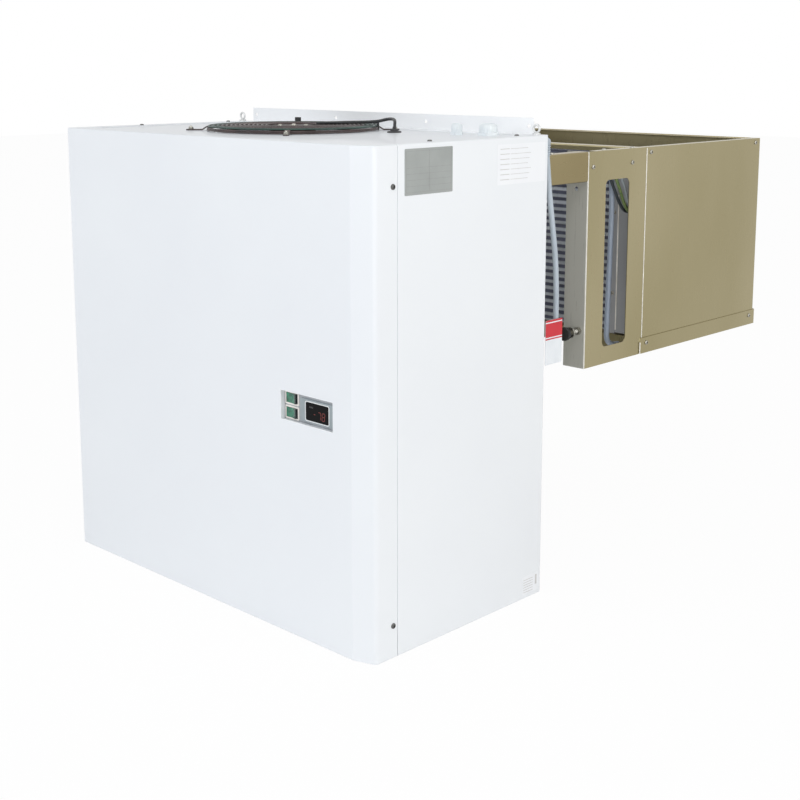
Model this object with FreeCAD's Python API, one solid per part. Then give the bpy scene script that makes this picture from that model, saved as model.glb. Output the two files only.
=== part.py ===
import FreeCAD, Part
import math
import os

# Wall-hung refrigeration unit for a cold room. The painted condensing cabinet hangs outside, a bridge
# crosses over the top of the wall panel, and the stainless evaporator section hangs inside the room.
# Origin: the wall's top outer corner at mid width, where the cabinet's back meets the bridge's underside.
# +X is the service side, +Y goes through the wall into the room, +Z is up. Millimetres.

# Cabinet
cabinet_width = 820.0
cabinet_height = 830.0
cabinet_depth = 436.0
cabinet_rise = 37.0            # cabinet top above the bridge top
painted_sheet = 1.5
panel_bend = 3.0               # outer bend radius of the painted panels
facet_bend = 9.0               # softer bends beside the bevelled edge
top_flange = 30.0              # inward fold along the top of cover and side panels
bottom_flange = 18.0
facet_width = 41.0             # bevelled edge of the front cover, on the service side only
facet_setback = 14.0
cover_return = 62.0            # depth of the front cover's side returns
seam_gap = 1.2
lap_front = 24.0               # strip behind the seam, which the cover's return is screwed to
lap_back = 20.0
lap_rise = 4.0
lap_drop = 6.0
back_return = 20.0
sheet_gap = 0.5                # between the two sheets of the back
tongue_rise = 8.0              # lower back sheet between the bridge beams
tongue_gap = 4.0
cover_screw_inset = 10.0       # from the seam
cover_screw_low = 56.1         # above the cabinet's foot
cover_screw_high = 64.3        # below its top
cover_screw_hole = 2.6
cover_screw_thread = 2.2
cover_screw_head = 4.5
cover_screw_rise = 2.6
deck_screw_inset = 21.0        # from the side
deck_screw_front = 157.0       # from the cabinet's front
deck_screw_back = 61.0         # from its back
deck_screw_head = 3.8
deck_screw_rise = 2.4
deck_corner = 6.0
louvre_rows = 9
louvre_columns = 2
louvre_length = 120.0
louvre_height = 9.0
louvre_corner = 4.4
louvre_pitch = 26.0
louvre_spacing = 150.0
louvre_from_foot = 130.0

# Floor pan
base_upstand = 40.0
base_sheet = 2.0
pan_corner = 6.0
pan_back_gap = 5.0
floor_slot_length = 150.0
floor_slot_width = 10.0
floor_slot_corner = 4.9
floor_slot_rows = 8
floor_slot_pitch = 30.0
floor_slot_from_front = 110.0
floor_slot_places = (-250.0, -60.0)

# Hanging flange and lifting eyes
flange_foot = 24.0
flange_rise = 28.0
flange_end_gap = 2.0
flange_hole_count = 4
flange_hole_inset = 10.5       # outer holes from the flange's ends
flange_hole_rise = 14.0
flange_hole_radius = 3.5
eye_inset = 14.0               # from the cabinet's side
eye_from_back = 16.0
eye_ring = 6.5
eye_wire = 2.0
eye_foot_radius = 7.0
eye_foot_height = 3.0

# Bridge over the wall
bridge_height = 55.0
wall_gap = 145.0
beam_flange = 22.0
beam_lug = 12.0                # lugs at the beams' ends; pipes and wires pass above them
steel = 1.5
steel_bend = 2.0               # inner bend radius of the stainless sheets

# Room side
room_inset = 20.0              # narrower than the cabinet by this much on each side
room_height = 404.0
neck_length = 187.0
box_length = 432.0
neck_flange = 48.0
fold_width = 18.0              # inward folds along the top of the stainless sheets
box_fold = 14.0
wall_fold = 30.0
box_gap = 1.0                  # between the sheets of neck and box
tray_depth = 31.0
tray_overhang = 8.0            # tray past the far wall
tray_lead = 6.0                # tray in front of the box
tray_corner = 7.0
tray_gap = 0.2
sheet_foot = 0.5               # box sheets above the tray's floor
window_width = 76.0
window_height = 316.0
window_from_front = 56.0
window_from_top = 55.0
window_corner = 11.0
fixing_hole_radius = 4.0
fixing_hole_inset = 26.0
fixing_hole_drop = 68.7
steel_screw_head = 4.2
steel_screw_rise = 2.6
beam_screw_y = 47.0
drain_from_end = 90.0
drain_bore = 8.0
drain_radius = 10.5
drain_length = 26.0
drain_flange = 9.0
drain_sheet = 3.0

# Controls
opening_width = 125.0
opening_height = 50.0
opening_from_side = 83.0       # opening's edge from the service side
opening_from_top = 408.0
opening_corner = 1.0
collar_corner = 2.5
collar_gap = 1.0               # collar's edge in front of the plate
control_setback = 10.0         # plate behind the cover's face
plate_margin = 14.0
plate_margin_left = 12.0
switch_box_depth = 88.0
switch_box_below = 90.0
switch_box_above = 70.0
switch_box_leg = 22.0
switch_box_leg_fold = 24.0
switch_box_leg_gap = 4.0
rocker_frame_width = 33.0
rocker_frame_height = 22.6
rocker_frame_corner = 2.0
rocker_frame_left = 2.0        # from the opening's left edge
rocker_frame_low = 1.0
rocker_pitch = 24.6
rocker_bezel = 2.0
rocker_body_width = 29.8
rocker_body_height = 20.2
rocker_body_depth = 21.5
rocker_well_width = 28.6
rocker_well_depth = 8.0        # behind the pivot
cutout_gap = 0.1
rocker_pivot_depth = 4.5       # behind the plate's face
rocker_tilt = 7.0              # degrees each side of level
rocker_width = 25.6
rocker_height = 16.4
rocker_side_gap = 0.4
rocker_pin_reach = 9.5
bearing_reach = 9.8
pin_radius = 1.2
running_clearance = 0.05
controller_width = 84.0
controller_height = 38.0
controller_corner = 3.0
controller_bezel = 3.0
controller_right = 1.0         # from the opening's right edge
controller_low = 4.0
case_width = 71.0
case_height = 31.0
case_depth = 57.0
case_gap = 0.5
screen_width = 54.0
screen_height = 30.0
screen_corner = 2.8
screen_proud = 0.2
screen_thickness = 1.6
screen_shift = 1.0
screen_drop = 0.5
screen_gap = 0.2

# Fans: tip radius of the blades, and how far guard, tabs and ring reach past them
condenser_tip = 145.0
condenser_tab_reach = 44.5
condenser_ring_reach = 24.0
condenser_wires = 5
room_fan_tip = 122.0
room_tab_reach = 38.0
room_ring_reach = 22.0
room_wires = 3
room_fan_drop = 197.0          # fan axes below the top of the room side
room_fan_shift = 5.0           # each axis is this much inside the middle of its half of the wall
guard_reach = 11.0
first_wire = 52.0
wire_size = 3.6
wire_sunk = 0.6                # wires pressed into the arms
arm_start = 30.0
arm_width = 10.0
arm_height = 6.0
arm_thick = 2.5
arm_bend = 1.5
arm_past_wire = 4.0
arm_slope = 9.0
tab_end = 9.0
tab_hole = 3.2
hub_plate = 44.0
motor_flange = 42.0
motor_flange_height = 10.0
motor_neck = 18.0
motor_neck_height = 3.0
drum_gap = 4.0
drum_radius = 46.0
drum_length = 50.0
drum_fillet = 5.0
spindle_radius = 7.0
spindle_end = 7.0              # spindle's end above the drum's closed end
bore_end = 6.0
well_radius = 19.0
well_depth = 3.0
tip_clearance = 3.5
blade_count = 5
root_chord = 62.0
root_pitch = 38.0              # degrees
root_camber = 5.0
root_thickness = 2.4
root_sunk = 4.0
tip_chord = 96.0
tip_pitch = 24.0               # degrees
tip_camber = 7.0
tip_thickness = 2.0
tip_trim = 3.0                 # blades are lofted past the tip and trimmed round
ring_sheet = 1.5
ring_lip = 7.0
ring_length = 46.0

# Condenser coil, lying flat under the deck, with lanes for pipes and machinery beside it
pipe_lane = 121.0
machine_lane = 219.0
condenser_back_gap = 10.0
condenser_depth = 340.0
condenser_thickness = 66.0
shroud_height = 110.0
coil_end_room = 20.0
end_plate = 2.0
fin_inset = 2.0
fin_groove = 4.0
first_groove = 8.0
first_tube = 10.0

# Evaporator coil
tube_pitch = 25.4
tube_rows = 14
coil_tube = 9.5
coil_depth = 88.0
coil_face_gap = 7.0            # coil face in front of the seam between neck and box
coil_top_gap = 13.0
end_space = 72.0               # finned block's end to the outer side of the section
fin_recess = 3.0
ridge_height = 12.0
end_plate_flange = 14.0
blank_overlap = 4.0
blank_gap = 0.6
bar_depth = 26.0
bar_bend = 1.0
header_offset = 36.0
header_radius = 9.0
header_end = 15.0
header_stub = 4.0
header_forward = 26.0
riser_radius = 7.0
riser_bend = 8.0
riser_drop = 40.0
suction_joint = 44.0           # suction line's end in front of the coil

# Compressor, receiver and pipes
compressor_from_side = 205.0
compressor_from_front = 231.0
compressor_radius = 84.0
compressor_height = 202.0
compressor_belt = 4.0
compressor_foot_width = 210.0
compressor_foot_depth = 150.0
compressor_foot_sheet = 5.0
compressor_foot_sunk = 3.0
mount_x = 88.0
mount_y = 58.0
mount_hole = 7.0
mount_height = 18.0
mount_foot = 12.0
mount_head = 6.0
stub_root = 60.0               # stub pipes start inside the shell
suction_stub_radius = 6.0
suction_stub_reach = 104.0
suction_stub_height = 60.0
discharge_stub_reach = 100.0
discharge_stub_side = 40.0
discharge_stub_height = 40.0
terminal_width = 62.0
terminal_height = 70.0
terminal_depth = 26.0
terminal_centre = 54.0
receiver_from_side = 160.0
receiver_from_back = 100.0
receiver_radius = 46.0
receiver_height = 200.0
receiver_foot = 30.0
receiver_neck = 20.0
drier_radius = 21.0
drier_length = 120.0
drier_neck = 8.0
drier_shoulder = 14.0
drier_gap = 30.0
joint_sleeve = 1.5             # brazed sleeves are this much thicker than their pipe
suction_radius = 13.0
suction_bend = 20.0
suction_inset = 40.0           # pipes and wires on the bridge, from the room side's edges
suction_from_back = 22.0
suction_run_out = 140.0
liquid_radius = 5.0
liquid_bend = 16.0
liquid_climb = 40.0
liquid_inset = 72.0
liquid_from_back = 30.0
liquid_level = 22.0
discharge_radius = 5.0
discharge_bend = 12.0
discharge_run_out = 122.0
discharge_beside_coil = 14.0
heating_radius = 6.5
heating_bend = 18.0
heating_inset = 43.0
heating_from_back = 30.0
heating_drop = 126.0           # behind the neck's front
heating_foot = 16.0
wire_radius = 3.0
wire_inset = 25.0
wire_gap = 0.5
wire_bend = 12.0
pipe_level = 30.0
hole_margin = 1.5
harness_hole = 11.0
valve_from_wall = 105.0
valve_flats = 22.0
valve_length = 32.0
valve_head_radius = 19.0
wire_hole_drop = 128.0
wire_hole_width = 26.0
wire_hole_height = 30.0
wire_hole_corner = 8.0
wire_rest_gap = 0.3

# Cable entries in the deck
small_gland_inset = 135.0      # from the service side
small_gland_from_back = 86.0
small_gland_flats = 21.0
small_gland_bore = 4.0
large_gland_inset = 85.0
large_gland_from_back = 60.0
large_gland_flats = 34.0
large_gland_bore = 9.0
gland_wall = 1.8
gland_hole_gap = 0.2
gland_base = 5.0
gland_height = 20.0
gland_thread = 14.0
grommet_from_fan_x = 197.0
grommet_from_fan_y = 68.0
grommet_hole = 7.0
grommet_radius = 12.0
fan_cable_radius = 2.8

# Spacers against the wall
stud_radius = 4.0
stud_reach = 42.0
stud_tail = 34.0
stud_hole_gap = 0.5
foot_radius = 10.0
foot_length = 10.0
foot_fillet = 2.0
nut_flats = 13.0
nut_height = 6.5
spacer_inset = 14.0
spacer_drop = 333.0            # below the section's top

# Supply lead with its strain relief and tag
lead_radius = 5.0
lead_inset = 10.4              # lead's axis from the service side
relief_radius = 8.2
relief_taper = 24.0
relief_rim = 1.4
relief_rim_height = 2.5
tag_grip = 0.3
tag_thickness = 1.2
tag_width = 48.0
tag_height = 86.0
tag_corner = 3.0
tag_centre_y = 39.0
tag_centre_z = -280.0

# Places worked out from the sizes above
half_width = cabinet_width / 2
top = bridge_height + cabinet_rise
bottom = top - cabinet_height
front = -cabinet_depth
deck = top - painted_sheet               # upper face of the top panel
seam = front + cover_return
pan_floor = bottom + painted_sheet + base_sheet
room_half = half_width - room_inset
room_top = bridge_height
room_bottom = room_top - room_height
neck_front = wall_gap
neck_back = neck_front + neck_length
far_end = neck_back + box_length
coil_front = neck_back - coil_face_gap
coil_back = coil_front + coil_depth
coil_half = room_half - end_space
coil_top = room_top - coil_top_gap
coil_bottom = coil_top - tube_pitch * tube_rows
tray_top = room_bottom + tray_depth
tray_floor = room_bottom + steel
opening_left = half_width - opening_from_side - opening_width
opening_bottom = top - opening_from_top - opening_height
plate_front = front + control_setback
rocker_x = opening_left + rocker_frame_left + rocker_frame_width / 2
rocker_z = opening_bottom + rocker_frame_low + rocker_frame_height / 2
rocker_pivot_y = plate_front + rocker_pivot_depth
controller_x = opening_left + opening_width - controller_right - controller_width / 2
controller_z = opening_bottom + controller_low + controller_height / 2
screen_x = controller_x - screen_shift
screen_z = controller_z - screen_drop
condenser_left = -half_width + pipe_lane
condenser_right = half_width - machine_lane
condenser_front = -condenser_back_gap - condenser_depth
condenser_back = -condenser_back_gap
shroud_low = deck - painted_sheet - shroud_height
condenser_low = shroud_low - condenser_thickness
fan_x = (condenser_left + condenser_right) / 2
fan_y = (condenser_front + condenser_back) / 2
room_fan_x = room_half / 2 - room_fan_shift
room_fan_z = room_top - room_fan_drop
drum_top = arm_height - motor_flange_height - drum_gap
compressor_x = half_width - compressor_from_side
compressor_y = front + compressor_from_front
compressor_z = pan_floor + mount_height
receiver_x = -half_width + receiver_from_side
receiver_y = -receiver_from_back
receiver_end = pan_floor + receiver_height + receiver_neck
suction_x = -room_half + suction_inset
liquid_x = -room_half + liquid_inset
heating_x = room_half - heating_inset
wires_x = room_half - wire_inset
header_x = -coil_half - header_offset
valve_y = neck_front + valve_from_wall
wire_hole_z = room_top - wire_hole_drop
drain_y = far_end - drain_from_end
grommet_x = fan_x + grommet_from_fan_x
grommet_y = fan_y + grommet_from_fan_y
spacer_x = room_half - spacer_inset
spacer_z = room_top - spacer_drop
lead_x = half_width - lead_inset
lead_points = [(lead_x, 17.5, 55.3), (lead_x, 22.5, 20.0), (lead_x, 28.5, -20.0), (lead_x, 39.5, -76.0),
               (lead_x, 48.5, -128.0), (lead_x, 52.8, -184.0), (lead_x, 53.2, -236.0), (lead_x, 52.0, -280.0),
               (lead_x, 49.8, -314.0)]

os.makedirs("parts", exist_ok=True)
V = FreeCAD.Vector
ORIGIN = V(0, 0, 0)
X_AXIS = V(1, 0, 0)
Y_AXIS = V(0, 1, 0)
Z_AXIS = V(0, 0, 1)
THROUGH = 9.0                  # how far a cutting tool stands past the sheet that it cuts


def save(name, solids):
    """Write one node. A list becomes a group of separate solids."""
    shape = solids if isinstance(solids, Part.Shape) else Part.makeCompound(solids)
    shape.exportStep("parts/%s.step" % name)


def block(x0, x1, y0, y1, z0, z1):
    return Part.makeBox(x1 - x0, y1 - y0, z1 - z0, V(x0, y0, z0))


def rod(radius, start, end):
    return Part.makeCylinder(radius, (end - start).Length, start, end - start)


def fused(shapes):
    return shapes[0].multiFuse(shapes[1:]).removeSplitter()


def mirrored(shape):
    """The same piece on the other side of the unit's middle plane."""
    return shape.mirror(ORIGIN, X_AXIS)


def placed(plane, a, b, c):
    """A point given in a drawing plane, at height c along the plane's normal."""
    return {"XY": V(a, b, c), "YZ": V(c, a, b), "XZ": V(a, c, b)}[plane]


def outline(points, radii, plane="XY", at=0.0):
    """Closed face through corner points, each corner rounded by its own radius."""
    count = len(points)
    corners = [placed(plane, p[0], p[1], at) for p in points]
    starts = []
    ends = []
    arcs = []
    for i in range(count):
        here = corners[i]
        before = (corners[i - 1] - here).normalize()
        after = (corners[(i + 1) % count] - here).normalize()
        radius = radii[i]
        if radius <= 0:
            starts.append(here)
            ends.append(here)
            arcs.append(None)
            continue
        half = before.getAngle(after) / 2
        reach = radius / math.tan(half)
        first = here + before * reach
        last = here + after * reach
        centre = here + (before + after).normalize() * (radius / math.sin(half))
        middle = centre + (here - centre).normalize() * radius
        starts.append(first)
        ends.append(last)
        arcs.append(Part.Arc(first, middle, last).toShape())
    edges = []
    for i in range(count):
        if arcs[i]:
            edges.append(arcs[i])
        following = starts[(i + 1) % count]
        if (following - ends[i]).Length > 1e-6:
            edges.append(Part.LineSegment(ends[i], following).toShape())
    return Part.Face(Part.Wire(edges))


def rounded_block(width, height, corner, centre_a, centre_b, plane, start, length):
    """Plate or hole with rounded corners, drawn in a plane and given a length along its normal."""
    a = width / 2
    b = height / 2
    points = [(centre_a - a, centre_b - b), (centre_a + a, centre_b - b),
              (centre_a + a, centre_b + b), (centre_a - a, centre_b + b)]
    normal = placed(plane, 0, 0, length)
    return outline(points, [corner] * 4, plane, start).extrude(normal)


def folded(points, thickness, bend, plane, start, length):
    """Folded sheet: the points run along one face, and the metal lies to their left."""
    pairs = [V(p[0], p[1], 0) for p in points]
    steps = [(pairs[i + 1] - pairs[i]).normalize() for i in range(len(pairs) - 1)]
    lefts = [V(-s.y, s.x, 0) for s in steps]
    other = [pairs[0] + lefts[0] * thickness]
    near_radii = [0.0]
    far_radii = [0.0]
    for i in range(1, len(pairs) - 1):
        bisector = (lefts[i - 1] + lefts[i]).normalize()
        other.append(pairs[i] + bisector * (thickness / bisector.dot(lefts[i])))
        turns_left = steps[i - 1].cross(steps[i]).z > 0
        near_radii.append(bend + thickness if turns_left else bend)
        far_radii.append(bend if turns_left else bend + thickness)
    other.append(pairs[-1] + lefts[-1] * thickness)
    near_radii.append(0.0)
    far_radii.append(0.0)
    loop = [(p.x, p.y) for p in pairs] + [(p.x, p.y) for p in reversed(other)]
    radii = near_radii + list(reversed(far_radii))
    return outline(loop, radii, plane, start).extrude(placed(plane, 0, 0, length))


def swept(points, radius, bends):
    """Round bar or pipe along straight runs joined by tangent arcs."""
    corners = [V(*p) for p in points]
    edges = []
    here = corners[0]
    for i in range(1, len(corners) - 1):
        before = (corners[i - 1] - corners[i]).normalize()
        after = (corners[i + 1] - corners[i]).normalize()
        half = before.getAngle(after) / 2
        bend = bends[i - 1] if isinstance(bends, list) else bends
        reach = bend / math.tan(half)
        first = corners[i] + before * reach
        last = corners[i] + after * reach
        centre = corners[i] + (before + after).normalize() * (bend / math.sin(half))
        middle = centre + (corners[i] - centre).normalize() * bend
        edges.append(Part.LineSegment(here, first).toShape())
        edges.append(Part.Arc(first, middle, last).toShape())
        here = last
    edges.append(Part.LineSegment(here, corners[-1]).toShape())
    path = Part.Wire(edges)
    section = Part.Wire(Part.Circle(corners[0], corners[1] - corners[0], radius).toShape())
    return path.makePipeShell([section], True, False)


def turned(points, centre=ORIGIN):
    """Solid of revolution about the vertical through centre, from (radius, height) points."""
    corners = [V(r, 0, z) for r, z in points]
    loop = Part.makePolygon(corners + [corners[0]])
    solid = Part.Face(loop).revolve(ORIGIN, Z_AXIS, 360)
    solid.translate(centre)
    return solid


def hexagon(across_flats, height, base):
    radius = across_flats / math.sqrt(3)
    angles = [math.pi * k / 3 for k in range(7)]
    corners = [base + V(radius * math.cos(a), radius * math.sin(a), 0) for a in angles]
    return Part.Face(Part.makePolygon(corners)).extrude(V(0, 0, height))


def upright_edges(shape, height):
    return [e for e in shape.Edges if e.BoundBox.ZLength > height / 2]


# Painted cabinet

def cover_plan(inset):
    """Corner points of the front cover's plan, moved inwards by a sheet."""
    left = -half_width + inset
    right = half_width - inset
    face = front + inset
    slope = math.atan2(facet_setback, facet_width)
    run = facet_width - inset * (1 / math.cos(slope) - 1) / math.tan(slope) - inset
    drop = run * math.tan(slope)
    return [(left, seam - seam_gap / 2), (left, face), (right - run, face), (right, face + drop),
            (right, seam - seam_gap / 2)]


def cover_screw_places():
    """Screws in the side returns: depth, and the two heights."""
    return seam - cover_screw_inset, (bottom + cover_screw_low, top - cover_screw_high)


def front_cover():
    """Folded front with rounded top edges, a bevelled edge, and a collar behind the control opening."""
    outer = outline(cover_plan(0), [0, panel_bend, facet_bend, facet_bend, 0], "XY", bottom)
    shell = outer.extrude(V(0, 0, cabinet_height))
    level = [e for e in shell.Edges if abs(e.BoundBox.ZLength) < 1e-6]
    rims = [e for e in level if e.BoundBox.YMax < seam - seam_gap or e.BoundBox.XLength < 1e-6]
    shell = shell.makeFillet(panel_bend, rims)
    inner_bend = facet_bend - panel_bend
    inner = outline(cover_plan(painted_sheet), [0, panel_bend - painted_sheet, inner_bend, inner_bend, 0],
                    "XY", bottom + painted_sheet).extrude(V(0, 0, cabinet_height - 2 * painted_sheet))
    open_back = block(-half_width + painted_sheet, half_width - painted_sheet, seam - cover_return / 4,
                      seam, bottom + painted_sheet, top - painted_sheet)
    under = block(-half_width + bottom_flange, half_width - bottom_flange,
                  front + bottom_flange + facet_setback, seam, bottom, bottom + base_upstand)
    over = block(-half_width + top_flange, half_width - top_flange, front + top_flange, seam,
                 top - base_upstand, top)
    shell = shell.cut(inner.fuse(open_back)).cut(under).cut(over)
    mouth_x = opening_left + opening_width / 2
    mouth_z = opening_bottom + opening_height / 2
    collar_start = front + painted_sheet / 2
    collar_end = plate_front - collar_gap
    collar = rounded_block(opening_width + 2 * painted_sheet, opening_height + 2 * painted_sheet,
                           collar_corner, mouth_x, mouth_z, "XZ", collar_start, collar_end - collar_start)
    mouth = rounded_block(opening_width, opening_height, opening_corner, mouth_x, mouth_z, "XZ",
                          front - THROUGH, control_setback + 2 * THROUGH)
    shell = shell.fuse(collar).cut(mouth)
    y, heights = cover_screw_places()
    for z in heights:
        for x in (-half_width, half_width):
            shell = shell.cut(rod(cover_screw_hole, V(x - THROUGH, y, z), V(x + THROUGH, y, z)))
    return shell.removeSplitter()


def side_panel():
    """Service-side panel: rounded top and back folds, and the strip behind the cover's return."""
    start = seam + seam_gap / 2
    inside = half_width - top_flange
    panel = block(inside, half_width, start, 0, bottom, top)
    outside = [e for e in panel.Edges if e.BoundBox.XMin > half_width - 0.01]
    rims = [e for e in outside if e.BoundBox.YMax > start + 0.01]
    panel = panel.makeFillet(panel_bend, rims)
    low = bottom + painted_sheet
    high = top - painted_sheet
    hollows = [block(inside - 1, half_width - painted_sheet, start - 1, -painted_sheet, low, high),
               block(inside - 1, half_width - back_return, -painted_sheet - 1, 1, low, high),
               block(inside - 1, half_width - bottom_flange, start - 1, 1, bottom - 1, low)]
    for hollow in hollows:
        panel = panel.cut(hollow)
    lap = block(half_width - 2 * painted_sheet, half_width - painted_sheet, seam - lap_front,
                seam + lap_back, bottom + base_upstand + lap_rise, top - lap_drop)
    panel = panel.fuse(lap)
    y, heights = cover_screw_places()
    for z in heights:
        panel = panel.cut(rod(cover_screw_thread, V(half_width - THROUGH, y, z), V(half_width, y, z)))
    return panel.removeSplitter()


def louvred_side_panel():
    """Far-side panel, which lets the condenser's air in through rows of slots."""
    panel = mirrored(side_panel())
    slots = []
    for row in range(louvre_rows):
        for column in range(louvre_columns):
            y = seam / 2 + (column - (louvre_columns - 1) / 2) * louvre_spacing
            z = bottom + louvre_from_foot + row * louvre_pitch
            slots.append(rounded_block(louvre_length, louvre_height, louvre_corner, y, z, "YZ",
                                       -half_width - THROUGH, 2 * THROUGH))
    return panel.cut(Part.makeCompound(slots))


def top_panel():
    """Deck under the folds of cover and sides, with the fan opening and the cable entries."""
    edge = half_width - painted_sheet
    plan = cover_plan(painted_sheet)[1:4] + [(edge, -painted_sheet), (-edge, -painted_sheet)]
    plate = outline(plan, [painted_sheet, deck_corner, deck_corner, 0, 0], "XY", deck - painted_sheet)
    plate = plate.extrude(V(0, 0, painted_sheet))
    rounds = [(fan_x, fan_y, condenser_tip + tip_clearance), (grommet_x, grommet_y, grommet_hole)]
    rounds += [(x, y, bore + gland_wall + gland_hole_gap) for x, y, flats, bore in gland_places()]
    holes = [rod(radius, V(x, y, deck - THROUGH), V(x, y, deck + THROUGH)) for x, y, radius in rounds]
    return plate.cut(Part.makeCompound(holes))


def gland_places():
    """Small and large cable gland: place, size across flats, and bore."""
    return [(half_width - small_gland_inset, -small_gland_from_back, small_gland_flats, small_gland_bore),
            (half_width - large_gland_inset, -large_gland_from_back, large_gland_flats, large_gland_bore)]


def base_pan():
    """Floor tray of the cabinet with slots for the air."""
    side = half_width - painted_sheet - panel_bend
    face = front + painted_sheet + facet_setback + panel_bend
    back = -painted_sheet - pan_back_gap
    low = bottom + painted_sheet
    high = bottom + base_upstand
    tray = block(-side, side, face, back, low, high)
    tray = tray.makeFillet(pan_corner, upright_edges(tray, base_upstand))
    hollow = block(-side + base_sheet, side - base_sheet, face + base_sheet, back - base_sheet,
                   pan_floor, high + 1)
    hollow = hollow.makeFillet(pan_corner - base_sheet, upright_edges(hollow, base_upstand))
    slots = []
    for x in floor_slot_places:
        for row in range(floor_slot_rows):
            y = front + floor_slot_from_front + row * floor_slot_pitch
            slots.append(rounded_block(floor_slot_length, floor_slot_width, floor_slot_corner, x, y, "XY",
                                       low - THROUGH, 2 * THROUGH))
    return tray.cut(hollow).cut(Part.makeCompound(slots))


def back_panel():
    """Two flat sheets. The lower one rests on the wall and reaches up between the bridge beams; the upper
    one closes the cabinet behind the bridge and lets pipes and wires through."""
    edge = half_width - back_return
    tongue = room_half - beam_flange - tongue_gap
    low = bottom + painted_sheet
    corners = [(-edge, low), (edge, low), (edge, -sheet_gap), (tongue, -sheet_gap), (tongue, tongue_rise),
               (-tongue, tongue_rise), (-tongue, -sheet_gap), (-edge, -sheet_gap)]
    lower = outline(corners, [0] * 8, "XZ", -painted_sheet).extrude(V(0, painted_sheet, 0))
    slot = tongue + sheet_gap
    upper = block(-edge, edge, -painted_sheet, 0, 0, deck - painted_sheet)
    upper = upper.cut(block(-slot, slot, -THROUGH, THROUGH, -THROUGH, tongue_rise + sheet_gap))
    holes = [(suction_x, pipe_level, suction_radius + hole_margin),
             (liquid_x, liquid_level, liquid_radius + hole_margin),
             (wires_x, pipe_level, harness_hole), (heating_x, pipe_level, heating_radius + hole_margin)]
    cuts = [rod(radius, V(x, -THROUGH, z), V(x, THROUGH, z)) for x, z, radius in holes]
    return [lower, upper.cut(Part.makeCompound(cuts))]


def hanging_flange():
    """Angle along the back of the deck, with a row of fixing holes above the cabinet."""
    half = half_width - top_flange - flange_end_gap
    flange = folded([(-flange_foot, deck), (0, deck), (0, top + flange_rise)], painted_sheet,
                    painted_sheet, "YZ", -half, 2 * half)
    z = top + flange_hole_rise
    spacing = 2 * (half - flange_hole_inset) / (flange_hole_count - 1)
    for k in range(flange_hole_count):
        x = (k - (flange_hole_count - 1) / 2) * spacing
        flange = flange.cut(rod(flange_hole_radius, V(x, -THROUGH, z), V(x, THROUGH, z)))
    return flange


def lifting_eye():
    """Screwed ring near a back corner of the deck."""
    foot = V(half_width - eye_inset, -eye_from_back, top)
    base = Part.makeCylinder(eye_foot_radius, eye_foot_height, foot)
    centre = foot + V(0, 0, eye_foot_height + eye_ring + eye_wire * 0.6)
    return base.fuse(Part.makeTorus(eye_ring, eye_wire, centre, Y_AXIS)).removeSplitter()


def pan_head(radius, height, at, direction):
    """Screw head with a chamfered rim."""
    disc = Part.makeCylinder(radius, height * 0.5, at, direction)
    crown = Part.makeCone(radius, radius * 0.6, height * 0.5, at + direction * (height * 0.5), direction)
    return disc.fuse(crown).removeSplitter()


def cabinet_screws():
    """Screws of the front cover on both sides, and those that hold the deck under the side folds."""
    y, heights = cover_screw_places()
    heads = [pan_head(cover_screw_head, cover_screw_rise, V(half_width, y, z), X_AXIS) for z in heights]
    deck_x = half_width - deck_screw_inset
    heads += [pan_head(deck_screw_head, deck_screw_rise, V(deck_x, deck_y, top), Z_AXIS)
              for deck_y in (front + deck_screw_front, -deck_screw_back)]
    return heads + [mirrored(head) for head in heads]


# Axial fans: an outer rotor motor hung in a wire guard. Each is drawn about the vertical, guard up.

def guard(tip_radius, tab_reach, wires):
    """Wire guard on four legs, standing on z = 0, with the motor plate in its middle."""
    last_wire = tip_radius + guard_reach
    tab_radius = tip_radius + tab_reach
    pieces = [Part.makeCylinder(hub_plate, arm_thick, V(0, 0, arm_height))]
    bend_radius = last_wire + arm_past_wire
    arm_points = [(arm_start, arm_height), (bend_radius, arm_height), (bend_radius + arm_slope, 0),
                  (tab_radius + tab_end, 0)]
    for k in range(4):
        arm = folded(arm_points, arm_thick, arm_bend, "XZ", -arm_width / 2, arm_width)
        arm = arm.cut(rod(tab_hole, V(tab_radius, 0, -THROUGH), V(tab_radius, 0, THROUGH)))
        arm.rotate(ORIGIN, Z_AXIS, 45 + 90 * k)
        pieces.append(arm)
    step = (last_wire - first_wire) / (wires - 1)
    low = arm_height + arm_thick - wire_sunk
    for k in range(wires):
        inner = first_wire + step * k - wire_size / 2
        pieces.append(turned([(inner, low), (inner + wire_size, low), (inner + wire_size, low + wire_size),
                              (inner, low + wire_size)]))
    return fused(pieces)


def stator():
    """Fixed half of the motor: flange under the guard's plate, and the spindle."""
    flange_low = arm_height - motor_flange_height
    spindle_low = drum_top - drum_length + spindle_end
    plate = Part.makeCylinder(motor_flange, motor_flange_height, V(0, 0, flange_low))
    neck = Part.makeCylinder(motor_neck, motor_neck_height, V(0, 0, flange_low - motor_neck_height))
    spindle = Part.makeCylinder(spindle_radius, flange_low - spindle_low, V(0, 0, spindle_low))
    return fused([plate, neck, spindle])


def blade_section(radius, chord, pitch, camber, thickness):
    """Cambered plate section, standing across the radius."""
    tilt = math.radians(pitch)
    half = chord / 2

    def at(along, above):
        return V(radius, along * math.cos(tilt) - above * math.sin(tilt),
                 along * math.sin(tilt) + above * math.cos(tilt))

    lower = Part.Arc(at(-half, 0), at(0, camber), at(half, 0)).toShape()
    upper = Part.Arc(at(half, thickness), at(0, camber + thickness), at(-half, thickness)).toShape()
    trailing = Part.LineSegment(at(half, 0), at(half, thickness)).toShape()
    leading = Part.LineSegment(at(-half, thickness), at(-half, 0)).toShape()
    return Part.Wire([lower, trailing, upper, leading])


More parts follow.
